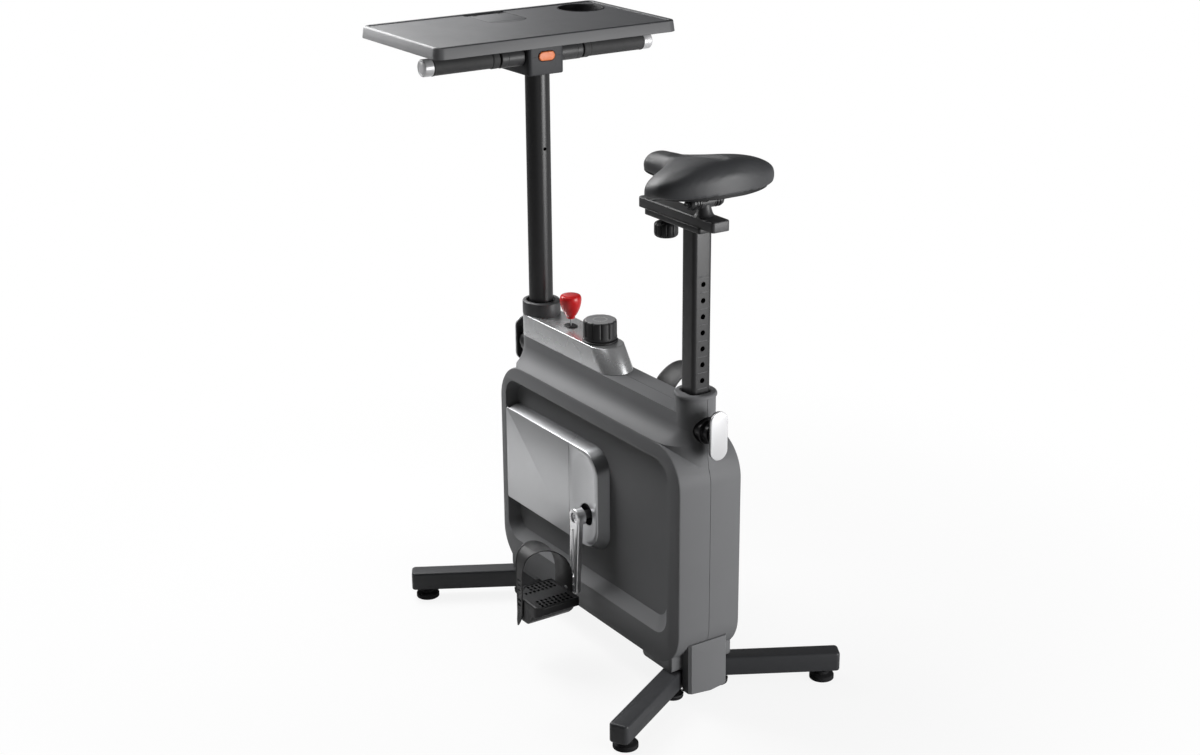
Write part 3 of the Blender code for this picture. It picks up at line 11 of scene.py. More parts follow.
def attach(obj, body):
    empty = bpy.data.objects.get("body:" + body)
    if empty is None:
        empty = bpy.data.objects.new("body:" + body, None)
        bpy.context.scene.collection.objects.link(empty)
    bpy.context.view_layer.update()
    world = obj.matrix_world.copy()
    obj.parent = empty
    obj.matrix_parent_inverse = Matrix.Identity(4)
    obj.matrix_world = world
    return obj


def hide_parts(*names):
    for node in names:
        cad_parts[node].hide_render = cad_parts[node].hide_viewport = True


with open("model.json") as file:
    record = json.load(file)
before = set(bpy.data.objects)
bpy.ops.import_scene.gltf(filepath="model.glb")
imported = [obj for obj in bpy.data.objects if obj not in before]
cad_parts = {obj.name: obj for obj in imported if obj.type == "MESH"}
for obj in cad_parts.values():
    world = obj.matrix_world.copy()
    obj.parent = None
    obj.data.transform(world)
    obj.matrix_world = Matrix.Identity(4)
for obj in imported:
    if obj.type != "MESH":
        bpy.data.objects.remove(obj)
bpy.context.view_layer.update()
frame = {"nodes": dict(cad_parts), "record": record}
cadNodes = frame["nodes"]
print("frame loaded,", len(cadNodes), "CAD nodes")


def added(name, data):
    item = bpy.data.objects.new(name, data)
    bpy.context.scene.collection.objects.link(item)
    return item


# Camera and room
cameraSet = dict(
    place=(2.9335, -1.9422, 1.8191), yaw=2.55835, pitch=-0.34919, roll=-0.00719, lens=58.03,
    far=200)


def makeCamera(c):
    yaw, pitch, roll = c["yaw"], c["pitch"], c["roll"]
    ahead = Vector((cos(pitch) * cos(yaw), cos(pitch) * sin(yaw), sin(pitch)))
    level = ahead.cross(Vector((0, 0, 1))).normalized()
    upright = level.cross(ahead)
    right = cos(roll) * level + sin(roll) * upright
    up = cos(roll) * upright - sin(roll) * level
    data = bpy.data.cameras.new("camera")
    data.lens, data.clip_end = c["lens"], c["far"]
    camera = added("camera", data)
    turn = Matrix((right, up, -ahead)).transposed().to_4x4()
    camera.matrix_world = Matrix.Translation(c["place"]) @ turn
    bpy.context.scene.camera = camera


makeCamera(cameraSet)
bpy.context.scene.view_settings.view_transform = "Standard"


# Shader sums: a wrapped socket takes part in plain Python expressions
def operator(operation, swapped=False):
    def applied(self, other):
        return self.net.maths(operation, *((other, self) if swapped else (self, other)))
    return applied


class Sum:
    __add__ = __radd__ = operator("ADD")
    __mul__ = __rmul__ = operator("MULTIPLY")
    __sub__, __rsub__ = operator("SUBTRACT"), operator("SUBTRACT", True)
    __truediv__, __rtruediv__ = operator("DIVIDE"), operator("DIVIDE", True)

    def __init__(self, net, socket):
        self.net, self.socket = net, socket

    def clamped(self):
        return self.net.maths("MINIMUM", self.net.greatest(self, 0.0), 1.0)


class Net:
    def __init__(self, owner):
        owner.use_nodes = True
        self.tree = owner.node_tree
        self.tree.nodes.clear()

    # Any node: its type, its settings, then the values or links of its sockets
    def node(self, kind, settings=None, out=0, **sockets):
        made = self.tree.nodes.new(kind)
        for key, value in (settings or {}).items():
            setattr(made, key, value)
        for name, value in sockets.items():
            title = name.replace("_", " ")
            self.feed([s for s in made.inputs if s.enabled and s.name == title][0], value)
        return Sum(self, [s for s in made.outputs if s.enabled][out])

    def feed(self, target, value):
        if isinstance(value, Sum):
            self.tree.links.new(value.socket, target)
        else:
            target.default_value = value

    # A node whose first sockets take the values in order
    def filled(self, made, values):
        for target, value in zip(made.socket.node.inputs, values):
            self.feed(target, value)
        return made

    def maths(self, operation, *values):
        return self.filled(self.node("ShaderNodeMath", {"operation": operation}), values)

    def greatest(self, first, *others):
        for other in others:
            first = self.maths("MAXIMUM", first, other)
        return first

    # How far a vector reaches that way
    def along(self, vector, way):
        return self.filled(self.node("ShaderNodeVectorMath", {"operation": "DOT_PRODUCT"}),
                           (vector, way))

    def blend(self, share, first, second):
        return self.node("ShaderNodeMix", {"data_type": "RGBA"}, Factor=share, A=first, B=second)

    def mixed(self, share, first, second):
        return self.filled(self.node("ShaderNodeMixShader"), (share, first, second))

    # A soft step of a value from 0 at start to 1 at stop
    def ramp(self, value, start, stop):
        share = ((value - start) / (stop - start)).clamped()
        return share * share * (3.0 - 2.0 * share)

    def end(self, shader, kind="ShaderNodeOutputMaterial"):
        made = self.tree.nodes.new(kind)
        self.tree.links.new(shader.socket, made.inputs["Surface"])


roomSet = dict(
    sky=0.06, glintLow=0.06, glintHigh=0.40, glintWay=(-0.93, 0.12, 0.33), glintFade=(0.78, 0.98),
    floorTone=0.80, dullTone=0.20, floorLift=0.88, floorGlint=(0.06, 0.18), floorFade=(0.5, 1.6),
    floorReach=40, litWay=(0.85, 0.53, 0.0), litGlint=0.60, litFade=(0.6, 1.7))
lampSet = [  # place, aim, width, height, watts
    ((3.2, 1.55, 0.70), (0.0, 0.0, 0.55), 2.0, 1.8, 125),
    ((-0.2, -0.45, 2.6), (0.0, 0.0, 0.50), 1.0, 0.6, 9),
    ((-1.1, -0.42, 1.6), (0.0, 0.0, 0.40), 1.0, 1.0, 34),
    ((-2.3, 0.4, 1.8), (0.0, 0.0, 0.60), 1.5, 1.5, 6),
    ((1.8, 1.6, 2.4), (0.0, 0.0, 0.60), 1.1, 0.7, 7)]


# Of a light path's outputs, 0, 2, 3 and 6 tell camera, diffuse, glossy and glass rays
def lightPaths(net, *outs):
    return [net.node("ShaderNodeLightPath", out=i) for i in outs]


# The world is white for the camera, dim for plain light, and brightens towards glintWay for gloss
def makeWorld(r):
    world = bpy.data.worlds.new("room")
    bpy.context.scene.world = world
    net = Net(world)
    isCamera, isGlossy, isGlass = lightPaths(net, 0, 3, 6)
    toward = net.ramp(net.along(net.node("ShaderNodeTexCoord"), r["glintWay"]), *r["glintFade"])
    glint = r["glintLow"] + toward * (r["glintHigh"] - r["glintLow"])
    strength = net.greatest(isCamera, isGlossy * glint, isGlass, r["sky"])
    net.end(net.node("ShaderNodeBackground", Color=(1, 1, 1, 1), Strength=strength),
            "ShaderNodeOutputWorld")


# A plain white floor: it keeps the object's shadow, and far away it is as white as the world
def makeFloor(r):
    mesh = bpy.data.meshes.new("floor")
    turns = [pi * i / 24 for i in range(48)]
    mesh.from_pydata([(r["floorReach"] * cos(t), r["floorReach"] * sin(t), 0) for t in turns], [],
                     [list(range(48))])
    material = bpy.data.materials.new("floorPaint")
    net = Net(material)
    isCamera, isDiffuse, isGlossy, isGlass = lightPaths(net, 0, 2, 3, 6)
    spot = net.node("ShaderNodeTexCoord", out=3)
    reach = net.node("ShaderNodeVectorMath", {"operation": "LENGTH"}, Vector=spot)
    far = net.ramp(reach, *r["floorFade"])
    lit = net.ramp(net.along(spot, r["litWay"]), *r["litFade"])
    near, wide = r["floorGlint"]
    glint = net.greatest(near + far * (wide - near), lit * r["litGlint"])
    lift = net.greatest(isCamera, isGlass) * (r["floorLift"] + far * (1 - r["floorLift"]))
    matt, dull = (net.node("ShaderNodeBsdfDiffuse", Color=(tone, tone, tone, 1))
                  for tone in (r["floorTone"], r["dullTone"]))
    white = net.node("ShaderNodeEmission", Color=(1, 1, 1, 1), Strength=1.0)
    net.end(net.mixed(net.greatest(lift, isGlossy * glint), net.mixed(isDiffuse, matt, dull),
                      white))
    mesh.materials.append(material)
    added("floor", mesh)


def makeLamps(lamps):
    for i, (spot, aim, width, height, watts) in enumerate(lamps):
        data = bpy.data.lights.new("softbox%d" % i, "AREA")
        data.shape = "RECTANGLE"
        data.size, data.size_y, data.energy = width, height, watts
        lamp = added(data.name, data)
        lamp.location, lamp.visible_camera = spot, False
        lamp.rotation_euler = (Vector(aim) - Vector(spot)).to_track_quat("-Z", "Y").to_euler()


makeWorld(roomSet)
makeFloor(roomSet)
makeLamps(lampSet)
print("camera and room ready")


# Finishes: colour, roughness, what the bump is made of, how wide one grain is in metres, the bump's
# depth, how far the colour drifts, specular level
finishSet = {
    "casing": ((0.176, 0.178, 0.183), 0.50, "spark", 0.0011, 0.00004, 0.05, 0.15),
    "sideCover": ((0.48, 0.485, 0.495), 0.34, "fleck", 0.0006, 0.0, 0.03, 0.4),
    "console": ((0.66, 0.665, 0.675), 0.27, "fleck", 0.0006, 0.0, 0.03, 0.4),
    "blackPaint": ((0.011, 0.011, 0.012), 0.30, "peel", 0.0018, 0.00002, 0.10, 0.42),
    "sleevePaint": ((0.050, 0.050, 0.052), 0.40, "peel", 0.0018, 0.00002, 0.10, 0.35),
    "legPaint": ((0.040, 0.041, 0.044), 0.38, "peel", 0.0016, 0.00003, 0.06, 0.3),
    "footCover": ((0.176, 0.178, 0.183), 0.50, "spark", 0.0011, 0.00004, 0.05, 0.15),
    "trimBlack": ((0.018, 0.018, 0.019), 0.48, "spark", 0.0009, 0.00003, 0.08, 0.3),
    "collarGrey": ((0.060, 0.061, 0.063), 0.40, "spark", 0.0010, 0.00003, 0.06, 0.35),
    "knobTop": ((0.22, 0.22, 0.225), 0.40, "turned", 0.0008, 0.00001, 0.04, 0.4),
    "redKey": ((0.62, 0.012, 0.014), 0.34, "spark", 0.0012, 0.00002, 0.04, 0.4),
    "orangeButton": ((0.95, 0.25, 0.08), 0.38, "spark", 0.0008, 0.00001, 0.03, 0.4),
    "rubber": ((0.014, 0.014, 0.015), 0.72, "spark", 0.0012, 0.00006, 0.12, 0.2),
    "gripRubber": ((0.060, 0.060, 0.061), 0.58, "foam", 0.0012, 0.00010, 0.10, 0.25),
    "strapRubber": ((0.042, 0.042, 0.043), 0.50, "spark", 0.0010, 0.00004, 0.08, 0.3),
    "treadPlastic": ((0.009, 0.009, 0.010), 0.44, "spark", 0.0008, 0.00005, 0.08, 0.3),
    "chrome": ((0.80, 0.80, 0.81), 0.24, "smudge", 0.014, 0.0, 0.02, 0.5),
    "palePlate": ((0.66, 0.66, 0.67), 0.34, "fleck", 0.0005, 0.0, 0.02, 0.4),
    "steel": ((0.47, 0.47, 0.48), 0.30, "smudge", 0.006, 0.00001, 0.08, 0.5),
    "castIron": ((0.085, 0.083, 0.082), 0.62, "cast", 0.0022, 0.00025, 0.20, 0.5),
    "beltRubber": ((0.015, 0.015, 0.016), 0.65, "ribs", 0.0024, 0.0005, 0.10, 0.5),
    "pulleyPlastic": ((0.024, 0.024, 0.026), 0.48, "spark", 0.0012, 0.00005, 0.08, 0.5),
    "deskPlastic": ((0.040, 0.041, 0.044), 0.42, "pebble", 0.0014, 0.00003, 0.06, 0.35),
    "cupBlack": ((0.008, 0.008, 0.009), 0.55, "spark", 0.0012, 0.00004, 0.08, 0.12),
    "bracketGrey": ((0.052, 0.053, 0.057), 0.48, "spark", 0.0010, 0.00004, 0.05, 0.2),
    "saddleSkin": ((0.040, 0.041, 0.044), 0.44, "hide", 0.0016, 0.00007, 0.10, 0.4),
    "saddlePan": ((0.012, 0.012, 0.013), 0.55, "spark", 0.0014, 0.00006, 0.08, 0.2),
}
# What only some of them have; wall is a tone painted on the faces marked as wall: painted shade on
# the side covers' rim walls, a painted reflection on the desk's rim
finishExtras = {"sideCover": {"metal": 0.70, "wall": (0.18, 0.183, 0.188)},
                "console": {"metal": 0.78}, "palePlate": {"metal": 0.30},
                "chrome": {"metal": 0.7, "roughSwing": 0.05},
                "steel": {"metal": 1.0, "roughSwing": 0.12}, "castIron": {"metal": 0.7},
                "redKey": {"coat": 0.2}, "knobTop": {"centre": (-0.0085, 0, 0)},
                "deskPlastic": {"wall": (0.125, 0.126, 0.130)}}
# Each noise: its scale (fine and lump are over the width of a grain), detail and roughness
noiseSet = dict(
    broad=(9.0, 3.0, 0.6), worn=(14.0, 2.0, 0.6), fine=(0.45, 2.0, 0.55), lump=(0.30, 1.0, 0.4))


def makeFinish(name, colour, rough, grain, size, depth, mottle, specular, metal=0.0, coat=0.0,
               roughSwing=0.04, wall=None, centre=None):
    material = bpy.data.materials.new(name)
    net = Net(material)
    spot = net.node("ShaderNodeTexCoord", out=3)
    if centre:
        spot = net.node("ShaderNodeMapping", Vector=spot, Location=tuple(-c for c in centre))

    def noise(kind, width=1.0):
        scale, detail, roughness = noiseSet[kind]
        return net.node("ShaderNodeTexNoise", Vector=spot, Scale=scale / width, Detail=detail,
                        Roughness=roughness)
    fine = noise("fine", size)
    if grain in ("hide", "pebble", "foam"):
        cell = net.node("ShaderNodeTexVoronoi", {"feature": "DISTANCE_TO_EDGE"}, Vector=spot,
                        Scale=1 / size, Randomness=0.9)
        height = net.maths("MINIMUM", cell * 3.0, 1.0) * 0.8 + fine * 0.3
    elif grain in ("peel", "cast"):
        height = noise("lump", size) * 0.7 + fine * 0.3
    elif grain in ("turned", "ribs"):
        rings = "RINGS" if grain == "turned" else "BANDS"
        height = net.node("ShaderNodeTexWave", {"wave_type": rings, "rings_direction": "Z"}, out=1,
                          Vector=spot, Scale=0.16 / size, Distortion=0.2)
    else:
        height = fine
    # The colour drifts slowly over the piece, and on plastics a little from grain to grain
    drift = (noise("broad") - 0.5) * (2.4 * mottle)
    if metal < 0.25:
        drift = drift + (fine - 0.5) * (1.2 * mottle)
    dark, light = ((*[min(c * (1 + way * mottle), 1) for c in colour], 1) for way in (-2, 2))
    tone = net.blend((drift * 4 + 0.5).clamped(), dark, light)
    # Faces marked as wall take the wall tone instead: painted shade or a painted reflection, not a
    # colour of the finish itself
    if wall:
        mark = net.node("ShaderNodeAttribute", {"attribute_name": "wall"}, out=2)
        tone = net.blend(mark, tone, (*wall, 1))
    sockets = {"Base_Color": tone, "Roughness": rough + (noise("worn") - 0.5) * (2.0 * roughSwing),
               "Metallic": metal, "Specular_IOR_Level": specular, "Coat_Weight": coat}
    if depth:
        sockets["Normal"] = net.node("ShaderNodeBump", Height=height, Distance=depth, Strength=1.0)
    net.end(net.node("ShaderNodeBsdfPrincipled", **sockets))
    material.diffuse_color = (*colour, 1)
    return material


finishes = {name: makeFinish(name, *values, **finishExtras.get(name, {}))
            for name, values in finishSet.items()}

# Each CAD node's finish and the record's slot for it
nodeFinish = {
    "casing": ("casing", "left_shell right_shell"),
    "side_cover": ("sideCover", "left_side_plate right_side_plate left_crank_cover"
                                " right_crank_cover"),
    "console": ("console", "console_housing"),
    "frame_paint": ("blackPaint", "steel_frame"),
    "post_paint": ("blackPaint", "desk_post handlebar seat_post slide_bar saddle_clamp"),
    "leg_paint": ("legPaint", "front_left_leg front_right_leg rear_left_leg rear_right_leg"),
    "foot_rubber": ("rubber", "front_left_foot front_right_foot rear_left_foot rear_right_foot"),
    "foot_cover": ("footCover", "front_foot_cover rear_foot_cover"),
    "trim": ("trimBlack", "tension_knob tension_knob_bezel stop_key_socket slider_knob"),
    "collar": ("collarGrey", "desk_post_collar seat_post_collar"),
    "red_key": ("redKey", "stop_key"),
    "steel": ("steel", "left_bearing right_bearing crank_spindle flywheel_axle magnet_yoke"
                       " brake_cable left_pedal_spindle right_pedal_spindle"),
    "iron": ("castIron", "flywheel"),
    "belt": ("beltRubber", "drive_belt"),
    "pulley": ("pulleyPlastic", "drive_pulley idler_pulley"),
    "crank": ("chrome", "left_crank_arm right_crank_arm"),
    "pedal": ("treadPlastic", "left_pedal right_pedal"),
    "strap": ("strapRubber", "left_pedal_strap right_pedal_strap"),
    "bracket": ("bracketGrey", "head_bracket"),
    "orange_button": ("orangeButton", "release_button"),
    "grip": ("gripRubber", "left_grip right_grip"),
    "end_cap": ("palePlate", "left_end_cap right_end_cap"),
    "desk": ("deskPlastic", "desk_top tablet_flap"),
    "cup": ("cupBlack", "cup_holder"),
    "lever": ("palePlate", "front_pull_pin rear_pull_pin"),
    "saddle": ("saddleSkin", "saddle"),
}
slotOf = {}
finishOf = {}
for slotName, (finishName, members) in nodeFinish.items():
    for member in members.split():
        slotOf[member], finishOf[member] = slotName, finishName
        mesh = cadNodes[member].data
        mesh.materials.clear()
        mesh.materials.append(finishes[finishName])
bodies = frame["record"]["behaviour"]["bodies"]
bodyOf = {member: body for body, members in bodies.items() for member in members}
print("finishes on", len(slotOf), "nodes")


# Outlines, each a list of (u, v) points in order
def arc(cu, cv, radius, start, end, steps):
    turns = [start + (end - start) * i / steps for i in range(steps + 1)]
    return [(cu + radius * cos(t), cv + radius * sin(t)) for t in turns]


def roundedBox(u0, u1, v0, v1, radius, grow=0.0, steps=8):
    r = max(radius + grow, 0.0003)
    u0, u1, v0, v1 = u0 - grow + r, u1 + grow - r, v0 - grow + r, v1 + grow - r
    return (arc(u1, v0, r, -pi / 2, 0, steps) + arc(u1, v1, r, 0, pi / 2, steps)
            + arc(u0, v1, r, pi / 2, pi, steps) + arc(u0, v0, r, pi, 1.5 * pi, steps))


# The same about a middle point
def pad(cu, cv, halfU, halfV, radius, grow=0.0, steps=8):
    return roundedBox(cu - halfU, cu + halfU, cv - halfV, cv + halfV, radius, grow, steps)


def link(a, ra, b, rb, grow=0.0, steps=20):
    ra, rb = ra + grow, rb + grow
    heading = atan2(b[1] - a[1], b[0] - a[0])
    lean = acos((ra - rb) / hypot(b[0] - a[0], b[1] - a[1]))
    return (arc(b[0], b[1], rb, heading - lean, heading + lean, steps)
            + arc(a[0], a[1], ra, heading + lean, heading + 2 * pi - lean, steps))


def pill(a, b, radius, grow=0.0, steps=20):
    return link(a, radius, b, radius, grow, steps)


def disc(cu, cv, radius, steps=64):
    return arc(cu, cv, radius, 0, 2 * pi, steps)[:-1]


# A knob's outline: flat-faced, with a groove between each two faces
def fluted(centre, radius, depth, count=12, fine=10):
    points = []
    for i in range(count * fine):
        turn = 2 * pi * i / (count * fine)
        groove = (1 - abs(sin(count * turn / 2))) ** 4
        points.append((centre[0] + (radius - depth * groove) * cos(turn),
                       centre[1] + (radius - depth * groove) * sin(turn)))
    return points


def ease(start, end, value):
    share = min(max((value - start) / (end - start), 0), 1)
    return share * share * (3 - 2 * share)


# A smooth run through the knots, with that many pieces between two of them
def smoothPath(knots, pieces):
    path = [Vector(knots[0])]
    last = len(knots) - 1
    for i in range(last):
        around = range(i - 1, i + 3)
        before, start, end, after = [Vector(knots[min(max(k, 0), last)]) for k in around]
        for j in range(1, pieces + 1):
            t = j / pieces
            bend = (2 * before - 5 * start + 4 * end - after) * t * t
            swing = (3 * start - before - 3 * end + after) * t ** 3
            path.append((2 * start + (end - before) * t + bend + swing) / 2)
    return path


# Solids
axisOrder = {"x": (1, 2, 0), "y": (0, 2, 1), "z": (0, 1, 2)}


def place(u, v, depth, axis):
    point = [0.0, 0.0, 0.0]
    for value, index in zip((u, v, depth), axisOrder[axis]):
        point[index] = value
    return point


def solid(name, meshData, smoothAngle=35):
    bmesh.ops.recalc_face_normals(meshData, faces=meshData.faces)
    mesh = bpy.data.meshes.new(name)
    meshData.to_mesh(mesh)
    meshData.free()
    mesh.shade_smooth()
    mesh.set_sharp_from_angle(angle=radians(smoothAngle))
    return added(name, mesh)


def skin(meshData, lower, upper):
    for i in range(len(lower)):
        j = (i + 1) % len(lower)
        meshData.faces.new((lower[i], lower[j], upper[j], upper[i]))


# rings: loops of points in space, skinned one to the next; the two ends get a face unless closed
def skinned(name, rings, closed=False, smoothAngle=35):
    meshData = bmesh.new()
    loops = [[meshData.verts.new(point) for point in ring] for ring in rings]
    for lower, upper in zip(loops, loops[1:]):
        skin(meshData, lower, upper)
    if closed:
        skin(meshData, loops[-1], loops[0])
    else:
        meshData.faces.new(loops[0][::-1])
        meshData.faces.new(loops[-1])
    return solid(name, meshData, smoothAngle)


def loft(name, rings, axis="z", closed=False, smoothAngle=35):
    points = [[place(u, v, depth, axis) for u, v in outline] for outline, depth in rings]
    return skinned(name, points, closed, smoothAngle)


def prism(name, outline, low, high, axis="z"):
    return loft(name, [(outline, low), (outline, high)], axis)


def box(name, x0, x1, y0, y1, z0, z1):
    return prism(name, [(x0, y0), (x1, y0), (x1, y1), (x0, y1)], z0, z1)


# The rings of a prism whose rims are rounded: shape(grow) gives the outline grown by that much
def softRings(shape, low, high, edgeLow, edgeHigh, steps=4):
    turns = [pi / 2 * i / steps for i in range(steps + 1)]
    return ([(shape(edgeLow * (sin(t) - 1)), low + edgeLow * (1 - cos(t))) for t in turns]
            + [(shape(edgeHigh * (cos(t) - 1)), high - edgeHigh * (1 - sin(t))) for t in turns])


def softPrism(name, shape, low, high, edgeLow, edgeHigh, axis="z", steps=4):
    return loft(name, softRings(shape, low, high, edgeLow, edgeHigh, steps), axis)


# The same from a rounded box; plan: u0, u1, v0, v1 and the radius of its corners
def softBox(name, plan, low, high, edgeLow, edgeHigh, axis="z", steps=4, fine=8):
    return softPrism(name, lambda grow: roundedBox(*plan, grow, fine), low, high, edgeLow, edgeHigh,
                     axis, steps)


def turned(name, profile, centre, axis="z", steps=64, bored=False):
    return loft(name, [(disc(*centre, r, steps), depth) for r, depth in profile], axis, bored)


def rod(name, centre, radius, low, high, axis="z", steps=48):
    return prism(name, disc(*centre, radius, steps), low, high, axis)


# A round bar along a list of points
def bentRod(name, points, radius, sides=20):
    rings = []
    for i, point in enumerate(points):
        ahead = points[min(i + 1, len(points) - 1)] - points[max(i - 1, 0)]
        facing = ahead.to_track_quat("Z", "Y")
        rings.append([point + facing @ Vector((u, v, 0)) for u, v in disc(0, 0, radius, sides)])
    return skinned(name, rings)


# Rounds the corners of a profile, so that a turned piece catches light along its edges
def eased(profile, radius=0.0006, steps=3, closed=False):
    points = [Vector(p) for p in profile]
    count = len(points)
    out = []
    for i, point in enumerate(points):
        if not closed and i in (0, count - 1):
            out.append(tuple(point))
            continue
        before, after = points[i - 1] - point, points[(i + 1) % count] - point
        reach = min(radius, before.length * 0.45, after.length * 0.45)
        start, end = point + before.normalized() * reach, point + after.normalized() * reach
        for k in range(steps + 1):
            t = k / steps
            out.append(tuple(start * (1 - t) ** 2 + point * 2 * t * (1 - t) + end * t ** 2))
    return out


def bake(piece):
    graph = bpy.context.evaluated_depsgraph_get()
    mesh = bpy.data.meshes.new_from_object(piece.evaluated_get(graph))
    piece.modifiers.clear()
    piece.data = mesh
    return piece


def combine(piece, operation, *tools):
    for tool in tools:
        modifier = piece.modifiers.new("carve", "BOOLEAN")
        modifier.operation, modifier.solver, modifier.object = operation, "EXACT", tool
        bake(piece)
        bpy.data.objects.remove(tool, do_unlink=True)
    piece.data.set_sharp_from_angle(angle=radians(40))
    return piece


def carve(piece, *tools):
    return combine(piece, "DIFFERENCE", *tools)


def fuse(piece, *tools):
    return combine(piece, "UNION", *tools)


def keepInside(piece, tool):
    return combine(piece, "INTERSECT", tool)


def twin(piece, name):
    return added(name, piece.data.copy())


# A piece with its Y turned over, to the other side of the middle plane
def turnedOver(piece):
    piece.data.transform(Matrix.Scale(-1, 4, Vector((0, 1, 0))))
    piece.data.flip_normals()
    return piece


def mirrored(piece, name):
    return turnedOver(twin(piece, name))


def moved(piece, x=0.0, y=0.0, z=0.0):
    piece.data.transform(Matrix.Translation((x, y, z)))
    return piece


# Joins up loose triangles and slivers, then rounds the sharp edges
def tidied(piece, width=0.0004, angle=34, segments=2):
    meshData = bmesh.new()
    meshData.from_mesh(piece.data)
    bmesh.ops.remove_doubles(meshData, verts=meshData.verts, dist=2e-6)
    bmesh.ops.dissolve_limit(meshData, angle_limit=radians(0.9), verts=meshData.verts,
                             edges=meshData.edges)
    meshData.to_mesh(piece.data)
    meshData.free()
    piece.data.shade_smooth()
    piece.data.set_sharp_from_angle(angle=radians(angle))
    modifier = piece.modifiers.new("ease", "BEVEL")
    modifier.width, modifier.segments = width, segments
    modifier.limit_method, modifier.angle_limit = "ANGLE", radians(angle)
    modifier.harden_normals = True
    return bake(piece)


def dress(piece, node, finish=None, replaces=True):
    piece.data.materials.clear()
    piece.data.materials.append(finishes[finish or finishOf[node]])
    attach(piece, bodyOf[node])
    if replaces:
        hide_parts(node)
    return piece


# A finer twin of a CAD node
def finerTwin(node, width, angle):
    return tidied(twin(cadNodes[node], node + "_form"), width, angle)


# Geometry Nodes: a row or a ring of copies of the piece's own small mesh
def makeRepeatTree(name, isRing):
    tree = bpy.data.node_groups.new(name, "GeometryNodeTree")
    inputs = {"Geometry": "Geometry", "Count": "Int", "Start": "Vector", "Step": "Vector",
              "Axis": "Vector", "Material": "Material"}
    for title, kind in inputs.items():
        tree.interface.new_socket(title, in_out="INPUT", socket_type="NodeSocket" + kind)
    tree.interface.new_socket("Geometry", in_out="OUTPUT", socket_type="NodeSocketGeometry")

    def add(kind, operation=None, **links):
        made = tree.nodes.new(kind)
        if operation:
            made.operation = operation
        for title, source in links.items():
            tree.links.new(source, made.inputs[title.replace("_", " ")])
        return made

    ways = add("NodeGroupInput").outputs
    line = add("GeometryNodeMeshLine", Count=ways["Count"], Start_Location=ways["Start"],
               Offset=ways["Step"])
    copies = add("GeometryNodeInstanceOnPoints", Points=line.outputs["Mesh"],
                 Instance=ways["Geometry"])
    if isRing:
        share = add("ShaderNodeMath", "DIVIDE")
        index = add("GeometryNodeInputIndex").outputs[0]
        for target, source in zip(share.inputs, (index, ways["Count"])):
            tree.links.new(source, target)
        turn = add("ShaderNodeVectorMath", "SCALE", Vector=ways["Axis"], Scale=share.outputs[0])
        full = add("ShaderNodeVectorMath", "SCALE", Vector=turn.outputs[0])
        full.inputs["Scale"].default_value = 2 * pi
        tree.links.new(full.outputs[0], copies.inputs["Rotation"])
    real = add("GeometryNodeRealizeInstances", Geometry=copies.outputs[0])
    painted = add("GeometryNodeSetMaterial", Geometry=real.outputs[0], Material=ways["Material"])
    add("NodeGroupOutput", Geometry=painted.outputs[0])
    return tree


repeatTrees = dict(
    row=makeRepeatTree("rowOfCopies", False), ring=makeRepeatTree("ringOfCopies", True))


# Repeats a small piece by one of the trees above and turns the result into a plain mesh
def repeated(piece, kind, count, finish, start=(0, 0, 0), step=(0, 0, 0), axis=(0, 0, 0)):
    tree = repeatTrees[kind]
    modifier = piece.modifiers.new("repeat", "NODES")
    modifier.node_group = tree
    values = {"Count": count, "Start": start, "Step": step, "Axis": axis,
              "Material": finishes[finish]}
    for item in tree.interface.items_tree:
        if item.in_out == "INPUT" and item.name in values:
            modifier[item.identifier] = values[item.name]
    return bake(piece)


print("tools ready")


sides = ((-1, "left"), (1, "right"))

# The moulded casing, in two halves with a seam on the middle plane
casing = dict(
    midX=0.0392, halfLength=0.3129, halfWidth=0.0696, low=0.070, top=0.511, corner=0.078,
    ridge=0.0365, ridgeTop=0.567, coveTop=0.548, bossTop=0.597, postX=-0.2225, seatX=0.3019,
    wall=0.003, seam=0.0008, rim=0.003, baseX=0.0422, round=26, coveSteps=22, coveTurn=radians(65),
    flare=0.0135, step=0.0006, edge=0.0008, skirtAlong=0.2395, skirtHalf=0.048, skirtLow=0.0606,
    skirtTop=0.100, skirtCorner=0.009, mouthHalf=0.043, mouthWide=0.0625, mouthTop=0.0850,
    blockAlong=0.2605, blockHalf=0.036, blockWide=0.035, blockCorner=0.005, blockTop=0.0985,
    postHole=0.0286, seatHole=0.0238, seatCorner=0.0095, spindleHole=0.0125, pinHole=0.0250,
    cableAt=(-0.0121, -0.0050), cableHole=0.0038)
recess = dict(
    front=-0.2535, rear=0.3130, low=0.129, top=0.479, corner=0.038, depth=0.022, frontSlope=0.012,
    rearSlope=0.030, lowSlope=0.021, topSlope=0.014, tighter=0.010)
crank = dict(
    x=0.0395, z=0.280, length=0.150, inner=0.0835, outer=0.0955, lean=0.006, root=0.0165,
    tip=0.0130, hub=0.0176, spindleHole=0.0091, boltHole=0.0108, boltFloor=0.0900,
    pedalHole=0.0075,
    # The groove's radius near the hub and near the tip, how far its outline lies above the face
    groove=[(0.0070, 0.0052, 0.02), (0.0062, 0.0046, 0.0010), (0.0050, 0.0036, -0.0005)],
    bolt=[(0.0105, -0.0902), (0.0105, -0.0922), (0.0086, -0.0936), (0.0060, -0.0938),
          (0.0052, -0.0934), (0.0050, -0.0918), (0.0020, -0.0918)],
    ring=[(0.0116, -0.0958), (0.0128, -0.0964), (0.0144, -0.0958), (0.0144, -0.0950),
          (0.0116, -0.0950)])
